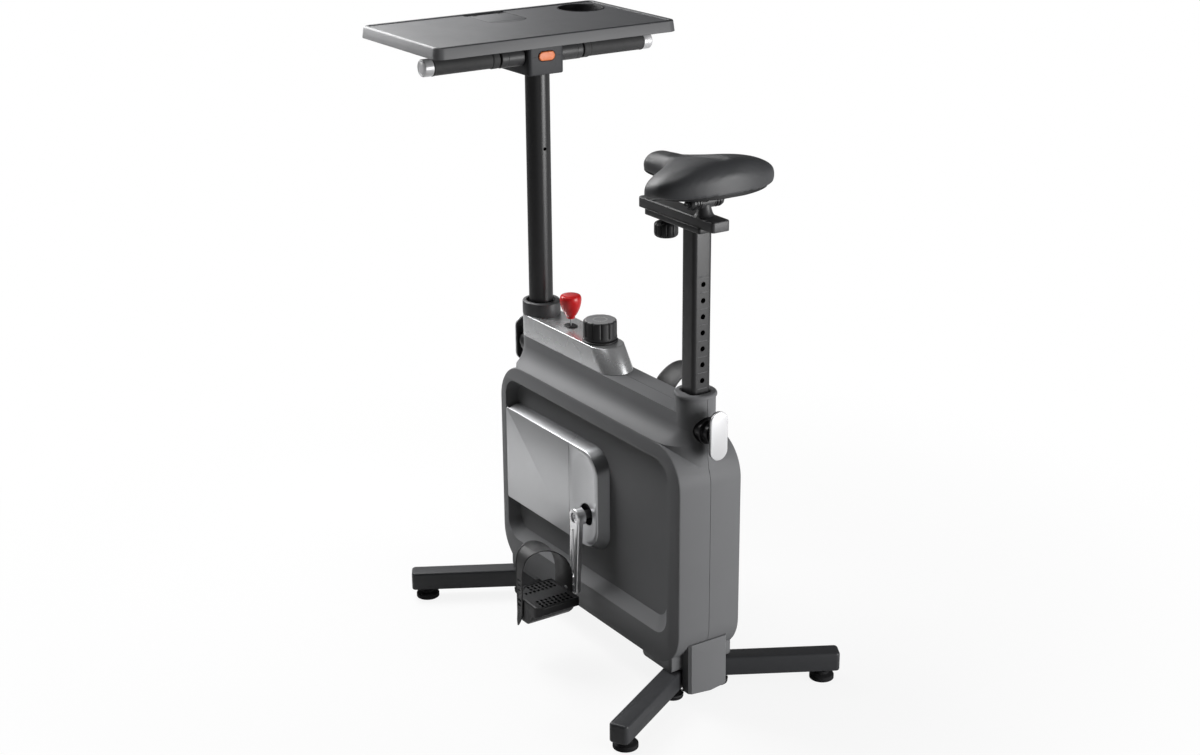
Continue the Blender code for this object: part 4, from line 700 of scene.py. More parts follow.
pin = dict(
    z=0.5385, flange=0.0080, barrel=0.0135, travel=0.0040, rod=0.0036, hole=0.0046, neck=0.0120,
    plateHalf=0.0275, plateRadius=0.0190, plateNear=0.0040, plateFar=0.0075,
    pocketsAt=(-0.0300, 0.0150), pocketWide=0.0125, pocketTall=0.0052, pocketPitch=0.0150,
    flangeEdge=[(0.0240, -0.002), (0.0240, -0.0006), (0.0232, 0.0002), (0.0182, 0.0004)],
    barrelEdge=[(0.0182, -0.001), (0.0172, 0.0002), (0.0120, 0.0002)])


def coveHalfWidth(z):
    c = casing
    full = c["halfWidth"] - c["step"]
    if z >= c["coveTop"]:
        return c["ridge"]
    if z <= c["top"]:
        return full
    turn = (c["coveTop"] - z) / (c["coveTop"] - c["top"]) * sin(c["coveTurn"])
    share = (1 - sqrt(1 - turn ** 2)) / (1 - cos(c["coveTurn"]))
    return c["ridge"] + (full - c["ridge"]) * share


def ridgeRing(z):
    c = casing
    half = coveHalfWidth(z)
    share = min(max((c["coveTop"] - z) / (c["coveTop"] - c["top"] + c["corner"]), 0), 1)
    reach = c["ridge"] + c["flare"] * share ** 2 - half
    return pill((c["postX"] - reach, 0), (c["seatX"] + reach, 0), half, 0, c["round"]), z


def bodyProfile(grow):
    c = casing
    return roundedBox(c["midX"] - c["halfLength"], c["midX"] + c["halfLength"], c["low"], c["top"],
                      c["corner"], grow, 16)


def recessTool(side, grow):
    r, width = recess, casing["halfWidth"]
    mouth = roundedBox(r["front"], r["rear"], r["low"], r["top"], r["corner"], grow, 10)
    floor = roundedBox(r["front"] + r["frontSlope"], r["rear"] - r["rearSlope"],
                       r["low"] + r["lowSlope"], r["top"] - r["topSlope"],
                       r["corner"] - r["tighter"], grow, 10)
    return loft("recess", [(mouth, side * (width + 0.010)), (mouth, side * width),
                           (floor, side * (width - r["depth"] - grow))], "y")


def makeCasing(c):
    width, wall, x = c["halfWidth"], c["wall"], c["seatX"]
    body = softPrism("casing", bodyProfile, -width, width, c["rim"], c["rim"], "y", 3)
    coveHeight = c["coveTop"] - c["top"]
    levels = [c["ridgeTop"], c["coveTop"]]
    steps = c["coveSteps"]
    levels += [c["coveTop"] - coveHeight * (i / steps) for i in range(1, steps + 1)]
    levels += [c["top"] - c["corner"] * i / 8 for i in range(1, 9)]
    fuse(body, loft("ridge", [ridgeRing(z) for z in levels]),
         rod("boss", (x, 0), c["ridge"] + c["step"], c["coveTop"] - 0.02, c["bossTop"], steps=72))
    inside = width - wall
    cavity = prism("cavity", bodyProfile(-wall), -inside, inside, "y")
    for side in (-1, 1):
        carve(cavity, recessTool(side, wall))
        middle = c["baseX"] + side * c["skirtAlong"]
        ends = middle - c["skirtHalf"], middle + c["skirtHalf"]
        reach, half, low = width - 0.0005, c["mouthHalf"], c["skirtLow"]
        fuse(body, softBox("skirt", (*ends, low, c["skirtTop"], c["skirtCorner"]), -reach, reach,
                           c["rim"], c["rim"], "y", 2, 5))
        fuse(cavity, box("opening", middle - half, middle + half, -c["mouthWide"], c["mouthWide"],
                         low + wall, c["mouthTop"]))
    upper = pill((c["postX"], 0), (x, 0), c["ridge"] - wall, 0, 7)
    carve(body, fuse(cavity, prism("upper", upper, 0.47, c["ridgeTop"] - wall)))
    for side in (-1, 1):
        blockWay = pad(c["baseX"] + side * c["blockAlong"], 0, c["blockHalf"], c["blockWide"],
                       c["blockCorner"])
        carve(body, recessTool(side, 0), prism("blockWay", blockWay, 0.04, c["blockTop"]))
    carve(body, rod("postWay", (c["postX"], 0), c["postHole"], 0.53, 0.60),
          prism("seatWay", pad(x, 0, c["seatHole"], c["seatHole"], c["seatCorner"]), 0.53, 0.62),
          rod("spindleWay", (crank["x"], crank["z"]), c["spindleHole"], -0.08, 0.08, "y", 24),
          rod("rearPinWay", (0, pin["z"]), c["pinHole"], 0.325, 0.36, "x"),
          rod("frontPinWay", (0, pin["z"]), c["pinHole"], -0.29, -0.248, "x"),
          box("otherHalf", -0.6, 0.6, -0.2, c["seam"] / 2, 0, 1))
    body.name = "right_shell_form"
    cableWay = rod("cableWay", c["cableAt"], c["cableHole"], 0.55, 0.58, steps=12)
    left = carve(mirrored(body, "left_shell_form"), cableWay)
    for half, name in ((left, "left_shell"), (body, "right_shell")):
        dress(tidied(half, c["edge"], 30, 3), name)


makeCasing(casing)
print("casing made")

# Side covers: a flat plate in front and the crank cover behind it, with a shallow pill-shaped scoop
cover = dict(
    rear=0.0845, low=0.2155, top=0.4145, split=-0.0155, face=0.0710, corner=0.046,
    frontCorner=0.0045, gap=0.0009, edge=0.0005, slope=0.009, wall=0.0025, strip=0.0135,
    stripThick=0.0022, stripLap=0.004, hub=0.0225, scoop=0.0385, scoopDeep=0.0050,
    scoopWall=0.0015, scoopBack=(0.0330, 0.0072), scoopTop=(-0.004, 0.048),
    scoopLow=(0.001, 0.016), scoopShrink=0.85, scoopCurve=2.2, markInset=0.006, markCorner=0.040,
    markTall=0.0535, markReach=0.0395,
    # How much wider than the outline, how far behind the face
    rim=[(-0.0015, 0.0), (-0.0006, 0.0005), (0, 0.0015)])


def coverRing(grow, depthShare, depth):
    c, slope = cover, cover["slope"] * depthShare + grow
    front, rear = recess["front"] + 0.001 - grow, c["rear"] + slope
    low, top = c["low"] - slope, c["top"] + slope
    big, small = c["corner"] + grow, max(c["frontCorner"] + grow, 0.0004)
    return (arc(rear - big, low + big, big, -pi / 2, 0, 14)
            + arc(rear - big, top - big, big, 0, pi / 2, 14)
            + arc(front + small, top - small, small, pi / 2, pi, 5)
            + arc(front + small, low + small, small, pi, 1.5 * pi, 5)), -depth


def coverSolid(grow, face, floor, slope=1):
    rim = [coverRing(grow + wider, 0, face - behind) for wider, behind in cover["rim"]]
    return loft("cover", rim + [coverRing(grow, slope, floor)], "y")


# Marks the faces of the rim behind the front face: they are steep and lie outside its outline; they
# take a darker tone, painted shade where the recess keeps light off them
def markPaintedShadeWall(piece, depth):
    mesh, c = piece.data, cover
    wall = mesh.attributes.new("wall", "FLOAT", "FACE")
    inner = c["rear"] - c["markInset"]
    for polygon, value in zip(mesh.polygons, wall.data):
        x, y, z = polygon.center
        corner = hypot(max(x - inner + c["markCorner"], 0),
                       max(abs(z - (c["top"] + c["low"]) / 2) - c["markTall"], 0))
        value.value = float(abs(y) < depth and corner > c["markReach"]
                            and abs(polygon.normal.y) < 0.8)


def makeCovers(c):
    face, floor = c["face"], casing["halfWidth"] - recess["depth"] + 0.0003
    whole = carve(coverSolid(0, face, floor),
                  coverSolid(-c["wall"], face - c["wall"], floor - 0.001))
    limit = recess["front"] + c["strip"]
    plate = keepInside(twin(whole, "plate"),
                       box("near", limit, c["split"] - c["gap"] / 2, -0.1, 0, 0, 1))
    rear = keepInside(whole, box("far", c["split"] + c["gap"] / 2, 0.2, -0.1, 0, 0, 1))
    fuse(plate, keepInside(coverSolid(0, face, face - c["stripThick"], 0),
                           box("near", -0.3, limit + c["stripLap"], -0.1, 0, 0, 1)))
    (topX, topDrop), (lowX, lowDrop) = c["scoopTop"], c["scoopLow"]
    top, low = (crank["x"] + topX, c["top"] - topDrop), (crank["x"] + lowX, crank["z"] - lowDrop)

    def hollow(radius, behind):
        return pill(top, low, radius, 0, 24), behind - face
    scoop = [hollow(c["scoop"] + 0.0020, -0.0008)]
    for i in range(12):
        share = 1 - i / 11 * c["scoopShrink"]
        deep = c["scoopDeep"] * (1 - share ** c["scoopCurve"])
        scoop.append(hollow(c["scoop"] * share, deep if i else -0.0001))
    back = [hollow(c["scoop"] + c["scoopWall"], c["scoopWall"]), hollow(*c["scoopBack"])]
    fuse(rear, loft("back", back, "y"))
    carve(rear, loft("scoop", scoop, "y"),
          rod("hub", (crank["x"], crank["z"]), c["hub"], -0.08, -0.04, "y"))
    for piece, name in ((plate, "side_plate"), (rear, "crank_cover")):
        other = mirrored(piece, "right_%s_form" % name)
        piece.name = "left_%s_form" % name
        for half, side in ((other, "right_"), (piece, "left_")):
            # The rim walls get the darker wall tone: painted shade
            markPaintedShadeWall(tidied(half, c["edge"], 30), face - 0.0016)
            dress(half, side + name)


makeCovers(cover)
print("side covers made")

# Console, its knob and its stop key
console = dict(
    low=0.5673, top=0.612, nose=0.2640, noseTop=0.2330, knobX=-0.0085, keyX=-0.1125, edge=0.0010,
    wall=0.003, front=0.0370, back=0.0355, keyHalf=0.004, keyRadius=0.0082, keyHole=0.0040,
    keyPin=0.0020, knobHole=0.0070,
    bezel=[(0.0075, 0.0003), (0.0345, 0.0003), (0.0345, 0.003), (0.0325, 0.0045),
           (0.0075, 0.0045)],  # radius, height above the top
    key=[(0.0012, 0.598), (0.0012, 0.6285), (0.0078, 0.6286), (0.0084, 0.6300), (0.0086, 0.6335),
         (0.0116, 0.6368), (0.0146, 0.6420), (0.0173, 0.6480), (0.0193, 0.6540), (0.0207, 0.6605),
         (0.0214, 0.6660), (0.0213, 0.6700), (0.0204, 0.6735), (0.0188, 0.6758), (0.0150, 0.6772),
         (0.0090, 0.6779), (0.0040, 0.6780)])


def consoleRing(rear, grow, z):
    x, c = casing["postX"], console
    return link((x, 0), c["front"], (x + rear, 0), c["back"], grow, 30), z


def grommet(grow):
    x, half = console["keyX"], console["keyHalf"]
    return pill((x - half, 0), (x + half, 0), console["keyRadius"], grow, 16)


def makeConsole(c):
    low, top, edge, wall = c["low"], c["top"], c["edge"], c["wall"]
    rings = [consoleRing(c["nose"] + 0.0002, -0.0006, low), consoleRing(c["nose"], 0, low + 0.0006)]
    for i in range(6):
        turn = pi / 2 * i / 5
        rings.append(consoleRing(c["noseTop"] - 0.002 * sin(turn), edge * (cos(turn) - 1),
                                 top - edge * (1 - sin(turn))))
    housing = loft("console_form", rings)
    hollow = [consoleRing(c["nose"] + 0.0010, -wall, low - 0.001),
              consoleRing(c["noseTop"], -wall, top - wall)]
    carve(housing, loft("hollow", hollow),
          rod("sleeveWay", (casing["postX"], 0), casing["postHole"], 0.60, 0.62),
          rod("knobWay", (c["knobX"], 0), c["knobHole"], 0.60, 0.62),
          prism("keyWay", grommet(0.0003), 0.60, 0.62))
    dress(tidied(housing), "console_housing")
    bezel = eased([(r, top + up) for r, up in c["bezel"]], 0.0007, 3, True)
    dress(turned("bezel_form", bezel, (c["knobX"], 0), steps=96, bored=True), "tension_knob_bezel")
    keySpot = (c["keyX"], 0)
    socket = prism("socket_form", grommet(0), top - 0.010, top + 0.0003)
    fuse(socket, softPrism("rim", lambda grow: grommet(0.003 + grow), top + 0.0003, top + 0.0025,
                           0.0002, 0.0012))
    keyWay = rod("keyBore", keySpot, c["keyHole"], top - 0.02, top + 0.01)
    dress(carve(socket, keyWay), "stop_key_socket")
    dress(turned("stop_key_form", eased(c["key"], 0.0006), keySpot, steps=72), "stop_key")
    shank = rod("stop_key_pin", keySpot, c["keyPin"], 0.5985, 0.6295)
    dress(shank, "stop_key", "steel", False)


makeConsole(console)

# The tension knob: fluted black sides, a grey dished top and a plain turned ring on it
knob = dict(
    low=0.6170, high=0.6550, radius=0.0330, flute=0.0022, stem=0.0065,
    # How far in from the radius, the flutes' share, how far above low or below high
    foot=[(0.0015, 0, 0), (0.0004, 0, 0.0008), (0, 0, 0.002), (0, 0, 0.0052), (0.0004, 1, 0.0070)],
    shoulder=[(0.0004, 1, 0.0050), (0.0009, 1, 0.0028), (0.0024, 1, 0.0010)],
    dish=[(0.0026, 1, 0.0012), (0.0036, 0.7, 0.0002), (0.0050, 0.4, 0), (0.0080, 0, 0.0004),
          (0.0110, 0, 0.0006), (0.0310, 0, 0.0006)])


def makeTensionKnob(k):
    centre, low, high = (console["knobX"], 0), k["low"], k["high"]

    def rings(steps, base, way):
        return [(fluted(centre, k["radius"] - inset, k["flute"] * share), base + way * off)
                for inset, share, off in steps]
    body = loft("tension_knob_form", rings(k["foot"], low, 1) + rings(k["shoulder"], high, -1),
                smoothAngle=50)
    dress(fuse(body, rod("stem", centre, k["stem"], 0.592, low + 0.004)), "tension_knob")
    dish = loft("tension_knob_top", rings(k["dish"], high, -1), smoothAngle=50)
    dress(dish, "tension_knob", "knobTop", False)
    tick = softBox("tick", (0.0118, 0.0145, -0.0005, 0.0005, 0.0004), high - 0.0008, high - 0.0001,
                   0.0001, 0.0003, steps=2, fine=3)
    ticks = repeated(tick, "ring", 24, "palePlate", axis=(0, 0, 1))
    ticks.name = "tension_knob_ticks"
    dress(moved(ticks, centre[0]), "tension_knob", "palePlate", False)


makeTensionKnob(knob)
print("console made")

# Collars round the two posts
collar = dict(
    low=0.6123, high=0.640, front=0.0375, back=0.0325, backAlong=0.012, bore=0.0250, mouth=0.0055,
    mouthLow=0.630, seatLow=0.5973, seatBore=0.0206, seatCorner=0.0086, seatMouth=0.0256,
    seatMouthCorner=0.0130,
    # Radius, height above the low edge
    seatRim=[(0.0380, 0), (0.0395, 0.0006), (0.0395, 0.0042), (0.0375, 0.0068), (0.0340, 0.0077)])


def makeCollars(c):
    postX, low, x = casing["postX"], c["seatLow"], casing["seatX"]

    def outline(grow):
        return link((postX, 0), c["front"], (postX + c["backAlong"], 0), c["back"], grow, 30)
    body = softPrism("desk_post_collar_form", outline, c["low"], c["high"], 0.0006, 0.0030)
    carve(body, rod("bore", (postX, 0), c["bore"], 0.6, 0.7, steps=72),
          turned("mouth", [(c["bore"], c["mouthLow"]), (c["bore"] + c["mouth"], 0.641)],
                 (postX, 0), steps=72))
    dress(tidied(body), "desk_post_collar")
    profile = eased([(r, low + up) for r, up in c["seatRim"]], 0.0012)
    bore = pad(x, 0, c["seatBore"], c["seatBore"], c["seatCorner"])
    mouth = pad(x, 0, c["seatMouth"], c["seatMouth"], c["seatMouthCorner"])
    ring = turned("seat_post_collar_form", profile, (x, 0), steps=96)
    carve(ring, prism("bore", bore, 0.59, 0.62),
          loft("mouth", [(bore, low + 0.0030), (mouth, low + 0.0090)]))
    dress(tidied(ring, 0.0003), "seat_post_collar", "footCover")


makeCollars(collar)

# Legs, levelling feet and the small fixed pad under each leg's root
leg = dict(
    rootX=0.2393, angle=29.5, reach=0.294, width=0.038, low=0.022, top=0.060, padAlong=0.262,
    innerAlong=0.060, start=0.0343, corner=0.008, bore=0.0056,
    stub=[(0.0180, 0.0010), (0.0190, 0.0016), (0.0200, 0.0040), (0.0200, 0.0085), (0.0185, 0.0095),
          (0.0105, 0.0115), (0.0090, 0.0125), (0.0090, 0.0230)],
    rim=[(0.0198, 0.0086), (0.0206, 0.0088), (0.0206, 0.0100), (0.0194, 0.0104)],
    foot=[(0.0212, 0), (0.0236, 0.0012), (0.0236, 0.0088), (0.0222, 0.0102), (0.0150, 0.0122),
          (0.0130, 0.0130), (0.0130, 0.0180), (0.0050, 0.0180), (0.0050, 0.0400)])


def makeLeg(end, side, name, g):
    root, lean = Vector((casing["baseX"] + end * g["rootX"], 0, 0)), radians(g["angle"])
    along = Vector((end * sin(lean), side * cos(lean), 0))
    across = Vector((end * cos(lean), -side * sin(lean), 0))

    def outline(grow):
        half = g["width"] / 2
        flat = roundedBox(0.0, g["reach"], -half, half, g["corner"], grow, 6)
        return [tuple((root + along * u + across * v).xy) for u, v in flat]
    near, far = sorted((side * g["start"], side * 0.35))
    outer, inner = ((root + along * g[key]).xy for key in ("padAlong", "innerAlong"))
    beam = softPrism(name + "_form", outline, g["low"], g["top"], 0.0030, 0.0048)
    keepInside(beam, box("outboard", -0.6, 0.6, near, far, 0, 0.1))
    carve(beam, rod("bore", outer, g["bore"], 0.0, 0.050, steps=24))
    dress(tidied(beam, 0.0003), name)
    dress(turned(name + "_inner_pad", eased(g["stub"], 0.0006), inner), name, "rubber", False)
    rim = turned(name + "_pad_rim", eased(g["rim"], 0.0003, 2, True), inner, bored=True)
    dress(rim, name, "collarGrey", False)
    foot = name.replace("leg", "foot")
    dress(turned(foot + "_form", eased(g["foot"], 0.0009), outer, steps=72), foot)


for end, endName in ((-1, "front"), (1, "rear")):
    for side, sideName in sides:
        makeLeg(end, side, "%s_%s_leg" % (endName, sideName), leg)
print("legs made")

# The two posts
post = dict(
    x=-0.2225, radius=0.024, wall=0.0025, low=0.36, high=1.112, pitch=0.040, tickPitch=0.030,
    firstHole=0.8085, seatLow=0.40, seatTop=0.9088, seatHalf=0.020, guideFront=-0.130,
    guideRear=0.0370, guideHalf=0.0228, track=0.0196, slide=0.9150, holes=9, hole=0.0045,
    rearHole=0.0036, rearHoleZ=0.951, seatHoles=13, seatHole=0.0048, corner=0.008)


def makeDeskPost(p):
    x, r, low, high = p["x"], p["radius"], p["low"], p["high"]
    inside = r - p["wall"]
    tube = turned("desk_post_form", [(inside, low), (r, low), (r, high), (inside, high)], (x, 0),
                  steps=96, bored=True)
    hole = rod("hole", (0, pin["z"] - 2 * p["pitch"]), p["hole"], x - 0.05, x, "x", 24)
    carve(tube, repeated(hole, "row", p["holes"], "blackPaint", step=(0, 0, p["pitch"])),
          rod("rearHole", (0, p["rearHoleZ"]), p["rearHole"], x, x + 0.05, "x", 24))
    dress(tidied(tube, 0.0004, 40), "desk_post")


def makeSeatPost(p):
    x, low, top, deck = casing["seatX"], p["seatLow"], p["seatTop"], p["slide"]
    front, rear, wide = x + p["guideFront"], x + p["guideRear"], p["guideHalf"]
    firstHole, step, half = p["firstHole"], (0, 0, p["tickPitch"]), p["seatHalf"]
    count, corner = p["seatHoles"], p["corner"]
    body = carve(prism("seat_post_form", pad(x, 0, half, half, corner), low, top),
                 prism("bore", pad(x, 0, half, half, corner, -p["wall"]), 0.3, top - 0.004))
    lowest = firstHole - (count - 1) * p["tickPitch"]
    hole = rod("hole", (0, lowest), p["seatHole"], x + 0.01, x + 0.03, "x", 24)
    carve(body, repeated(hole, "row", count, "blackPaint", step=step))
    guide = softBox("guide", (front, rear, -wide, wide, 0.004), deck - 0.0085, deck + 0.0020,
                    0.0015, 0.0004, steps=3, fine=5)
    track = box("track", front - 0.01, rear + 0.01, -p["track"], p["track"], deck - 0.0003, 0.93)
    carve(guide, track, rod("screwWay", (0.2085, 0), p["seatHole"], 0.90, 0.93, steps=24))
    dress(tidied(fuse(body, guide)), "seat_post")
    mark = softBox("mark", (-0.0105, 0.0105, -0.0007, 0.0007, 0.0006), x + 0.0195, x + 0.0204,
                   0.0001, 0.0003, "x", 2, 3)
    lowest = firstHole - (count - 1.5) * p["tickPitch"]
    marks = repeated(mark, "row", count, "collarGrey", (0, 0, lowest), step)
    marks.name = "seat_post_marks"
    dress(marks, "seat_post", "collarGrey", False)


makeDeskPost(post)
makeSeatPost(post)
print("posts made")

# The desk: a moulded tray with a raised lip, a cup well, a tablet slot and a flap
desk = dict(
    front=-0.4362, rear=-0.1340, half=0.2655, top=1.1845, low=1.1622, corner=0.016, floor=1.1830,
    cup=(-0.3705, 0.197), cupRadius=0.045, flapFront=-0.4105, flapRear=-0.3100, flapHalf=0.043,
    flapThick=0.0030, bulge=0.022, bracketTop=1.1616, thick=0.0080, web=(0.0335, 0.0375),
    hook=(0.0275, 0.0370), rib=(0.0365, 0.2640), ribs=(-0.3850, -0.2700, -0.1800),
    slot=(-0.4290, -0.4130, -0.0470, 0.0470),
    # How much wider than the outline, how far below the top
    lip=[(0.0030, 0.0223), (0.0035, 0.0218), (0.0008, 0.0030), (0.0004, 0.0018), (-0.0006, 0.0006),
         (-0.0020, 0.0), (-0.0075, 0.0), (-0.0086, 0.0004), (-0.0094, 0.0012), (-0.0098, 0.0034),
         (-0.0112, 0.0034), (-0.0115, 0.0015)])


def flapOutline(grow):
    d, half = desk, desk["flapHalf"] + grow
    bulge = [(d["flapRear"] + grow - d["bulge"] * abs(i / 20 - 1) ** 3, (i / 20 - 1) * half)
             for i in range(41)]
    return [(d["flapFront"] - grow, -half)] + bulge + [(d["flapFront"] - grow, half)]


def deskOutline(grow):
    d = desk
    return roundedBox(d["front"], d["rear"], -d["half"], d["half"], d["corner"], grow, 14)


# Marks the steep faces of the desk's rim, below its top edge; they take a lighter tone, a painted
# reflection of the room in the satin rim
def markPaintedSheenRim(piece, d):
    mesh, corner = piece.data, d["corner"]
    rim = mesh.attributes.new("wall", "FLOAT", "FACE")
    middle, inner = (d["front"] + d["rear"]) / 2, (d["rear"] - d["front"]) / 2 - corner
    for polygon, value in zip(mesh.polygons, rim.data):
        x, y, height = polygon.center
        out = hypot(max(abs(x - middle) - inner, 0), max(abs(y) - d["half"] + corner, 0))
        value.value = float(out > corner - 0.0045 and height < d["top"] - 0.0008
                            and abs(polygon.normal.z) < 0.6)


def makeDeskTop(d):
    tray = loft("desk_top_form", [(deskOutline(grow), d["top"] - drop) for grow, drop in d["lip"]],
                smoothAngle=28)
    under = d["top"] - d["thick"]
    carve(tray, loft("tray", [(deskOutline(-0.0005), d["low"] - 0.001),
                              (deskOutline(-0.0035), under)]))
    low, high = d["bracketTop"] + 0.0003, under + 0.002
    front, rear = d["front"] + 0.0255, d["rear"] - 0.006
    for side in (-1, 1):
        web, hook, rib = (sorted((side * d[key][0], side * d[key][1]))
                          for key in ("web", "hook", "rib"))
        fuse(tray, box("web", front, rear, *web, low + 0.0005, high),
             box("hook", front + 0.0005, rear - 0.0005, *hook, low, low + 0.0037),
             *(box("rib", x - 0.001, x + 0.001, *rib, d["low"] + 0.004, high - 0.0005)
               for x in d["ribs"]))
    cup, r, z = d["cup"], d["cupRadius"], d["floor"]
    fuse(tray, rod("boss", cup, r + 0.0050, d["low"] + 0.003, high))
    carve(tray, rod("cupWay", cup, r + 0.0024, 1.1, 1.2),
          rod("cupSeat", cup, r + 0.0040, z - 0.0012, 1.2),
          prism("flapPocket", flapOutline(0.0017), z - d["flapThick"] - 0.0003, 1.2),
          prism("slot", roundedBox(*d["slot"], 0.003, 0, 4), 1.1, 1.2))
    tidied(tray, 0.0003, 30)
    # The rim's steep faces get the lighter wall tone: a painted reflection
    markPaintedSheenRim(tray, d)
    dress(tray, "desk_top")


def makeDeskFittings(d):
    r, z, front = d["cupRadius"], d["floor"], d["flapFront"]
    well = [(0.0020, z - 0.0560), (0.0380, z - 0.0560), (0.0395, z - 0.0545),
            (r + 0.0018, z - 0.0009), (r + 0.0037, z - 0.0009), (r + 0.0034, z + 0.0006),
            (r + 0.0008, z + 0.0008), (r - 0.0004, z - 0.0006), (0.0377, z - 0.0530),
            (0.0360, z - 0.0542), (0.0020, z - 0.0542)]
    dress(turned("cup_holder_form", eased(well, 0.0006), d["cup"], steps=96), "cup_holder")
    flap = softPrism("tablet_flap_form", flapOutline, z - d["flapThick"], z - 0.0001, 0.0002,
                     0.0003, steps=3)
    fold = d["flapRear"] - 0.0190
    carve(flap, box("fold", fold - 0.0006, fold + 0.0006, -0.0405, 0.0405, z - 0.0014, z + 0.001))
    dress(tidied(flap, 0.0002), "tablet_flap")
    # A near-black strip fills the gap round the flap almost to its top: a painted shadow standing
    # in for the shade in the seam
    seam = carve(prism("desk_seam_painted_shadow", flapOutline(0.0018), z - d["flapThick"], z - 0.0001),
                 prism("flapWay", flapOutline(0.0004), z - 0.01, z + 0.01),
                 box("hinge", front - 0.01, front + 0.008, -0.1, 0.1, z - 0.01, z + 0.01))
    dress(seam, "desk_top", "cupBlack", False)
    knuckle = softPrism("knuckle", lambda grow: disc(front + 0.0040, z - 0.0012, 0.0016 + grow, 20),
                        -0.0335, -0.0235, 0.0003, 0.0003, "y", 2)
    hinge = repeated(knuckle, "row", 2, "trimBlack", step=(0, 0.057, 0))
    hinge.name = "tablet_flap_hinge"
    dress(hinge, "tablet_flap", "trimBlack", False)


makeDeskTop(desk)
makeDeskFittings(desk)
print("desk made")

# Head bracket, release button, handlebar, grips and end caps
bar = dict(
    x=-0.2155, z=1.1345, radius=0.0125, button=0.0180, buttonHalf=0.0088,
    buttonDeep=0.0105, bracketFront=-0.3125, bracketRear=-0.1865, bracketHalf=0.040,
    bracketLow=1.0985, bracketCorner=0.0085, fit=0.0003, pocket=0.025, pocketsAt=(0.004, 0.032),
    pocketAcross=(0.0015, 0.036), parting=0.0004,
    sleeve=[(0.0125, 0.0415), (0.0180, 0.0415), (0.0186, 0.0425), (0.0186, 0.0760),
            (0.0182, 0.0766), (0.0182, 0.0790), (0.0186, 0.0796), (0.0186, 0.0900),
            (0.0176, 0.0915), (0.0125, 0.0915), (0.0125, 0.236)],
    grip=[(0.0128, 0.0945), (0.0174, 0.0950), (0.0180, 0.0962), (0.0180, 0.1080), (0.0172, 0.1092),
          (0.0162, 0.1100), (0.0162, 0.1108), (0.0168, 0.1118), (0.0168, 0.2310), (0.0174, 0.2330),
          (0.0174, 0.2355), (0.0128, 0.2355)],
    cap=[(0.0160, 0.2363), (0.0166, 0.2368), (0.0166, 0.2535), (0.0152, 0.2556), (0.0122, 0.2560),
         (0.0118, 0.2553), (0.0112, 0.2553), (0.0108, 0.2560), (0.0020, 0.2560)])


def makeHandlebar(b):
    centre = (b["x"], b["z"])
    profile = eased([(r, -y) for r, y in b["sleeve"][::-1]] + b["sleeve"], 0.0005)
    dress(turned("handlebar_form", profile, centre, "y", 72), "handlebar", "sleevePaint")
    for sign, side in sides[::-1]:
        grip = [(r, sign * y) for r, y in eased(b["grip"], 0.0004, 3, True)]
        cap = [(r, sign * y) for r, y in eased(b["cap"], 0.0004)]
        dress(turned(side + "_grip_form", grip, centre, "y", 72, True), side + "_grip")
        dress(turned(side + "_end_cap_form", cap, centre, "y", 72), side + "_end_cap")


def buttonOutline(grow):
    return pad(0, bar["z"], bar["button"], bar["buttonHalf"], bar["buttonHalf"], grow, 14)


def makeHeadBracket(b):
    front, end, low, top = b["bracketFront"], b["bracketRear"], b["bracketLow"], desk["bracketTop"]
    dress(softPrism("release_button_form", buttonOutline, end - 0.0055, end + 0.0025, 0.0003,
                    0.0022, "x"), "release_button")
    wide, fit, (near, far) = b["bracketHalf"], b["fit"], b["pocketAcross"]
    bracket = softBox("head_bracket_form", (front, end, -wide, wide, b["bracketCorner"]), low, top,
                      0.0024, 0.0012, fine=10)
    fuse(bracket, box("neck", front + 0.007, end - 0.015, -0.026, 0.026, top - 0.002, top + 0.008),
         box("flange", front + 0.006, end - 0.014, -0.032, 0.032, top + 0.005, top + 0.009))
    wellMouth = [(buttonOutline(fit), end - 0.0012), (buttonOutline(0.0030), end + 0.0010)]
    carve(bracket, rod("postSocket", (post["x"], 0), post["radius"] + fit, 1.0,
                       post["high"] + 0.0004, steps=96),
          rod("barWay", (b["x"], b["z"]), b["radius"] + fit, -0.1, 0.1, "y", 72),
          prism("buttonWell", buttonOutline(fit), end - b["buttonDeep"], end + 0.01, "x"),
          loft("wellMouth", wellMouth, "x"))
    for x in [front + along for along in b["pocketsAt"]]:
        for y0, y1 in ((-far, -near), (near, far)):
            carve(bracket, box("pocket", x, x + b["pocket"], y0, y1, 1.09, top - 0.006))
    # The parting line between the bracket's two halves
    deep = b["parting"]
    half = wide - deep
    for x0, x1, y0, y1 in ((end - deep, end + 0.01, -0.05, 0.05), (-0.32, -0.18, -0.05, -half),
                           (-0.32, -0.18, half, 0.05)):
        carve(bracket, box("parting", x0, x1, y0, y1, b["z"] - deep, b["z"] + deep))
    dress(tidied(bracket, 0.0006), "head_bracket")


makeHandlebar(bar)
makeHeadBracket(bar)
print("handlebar made")

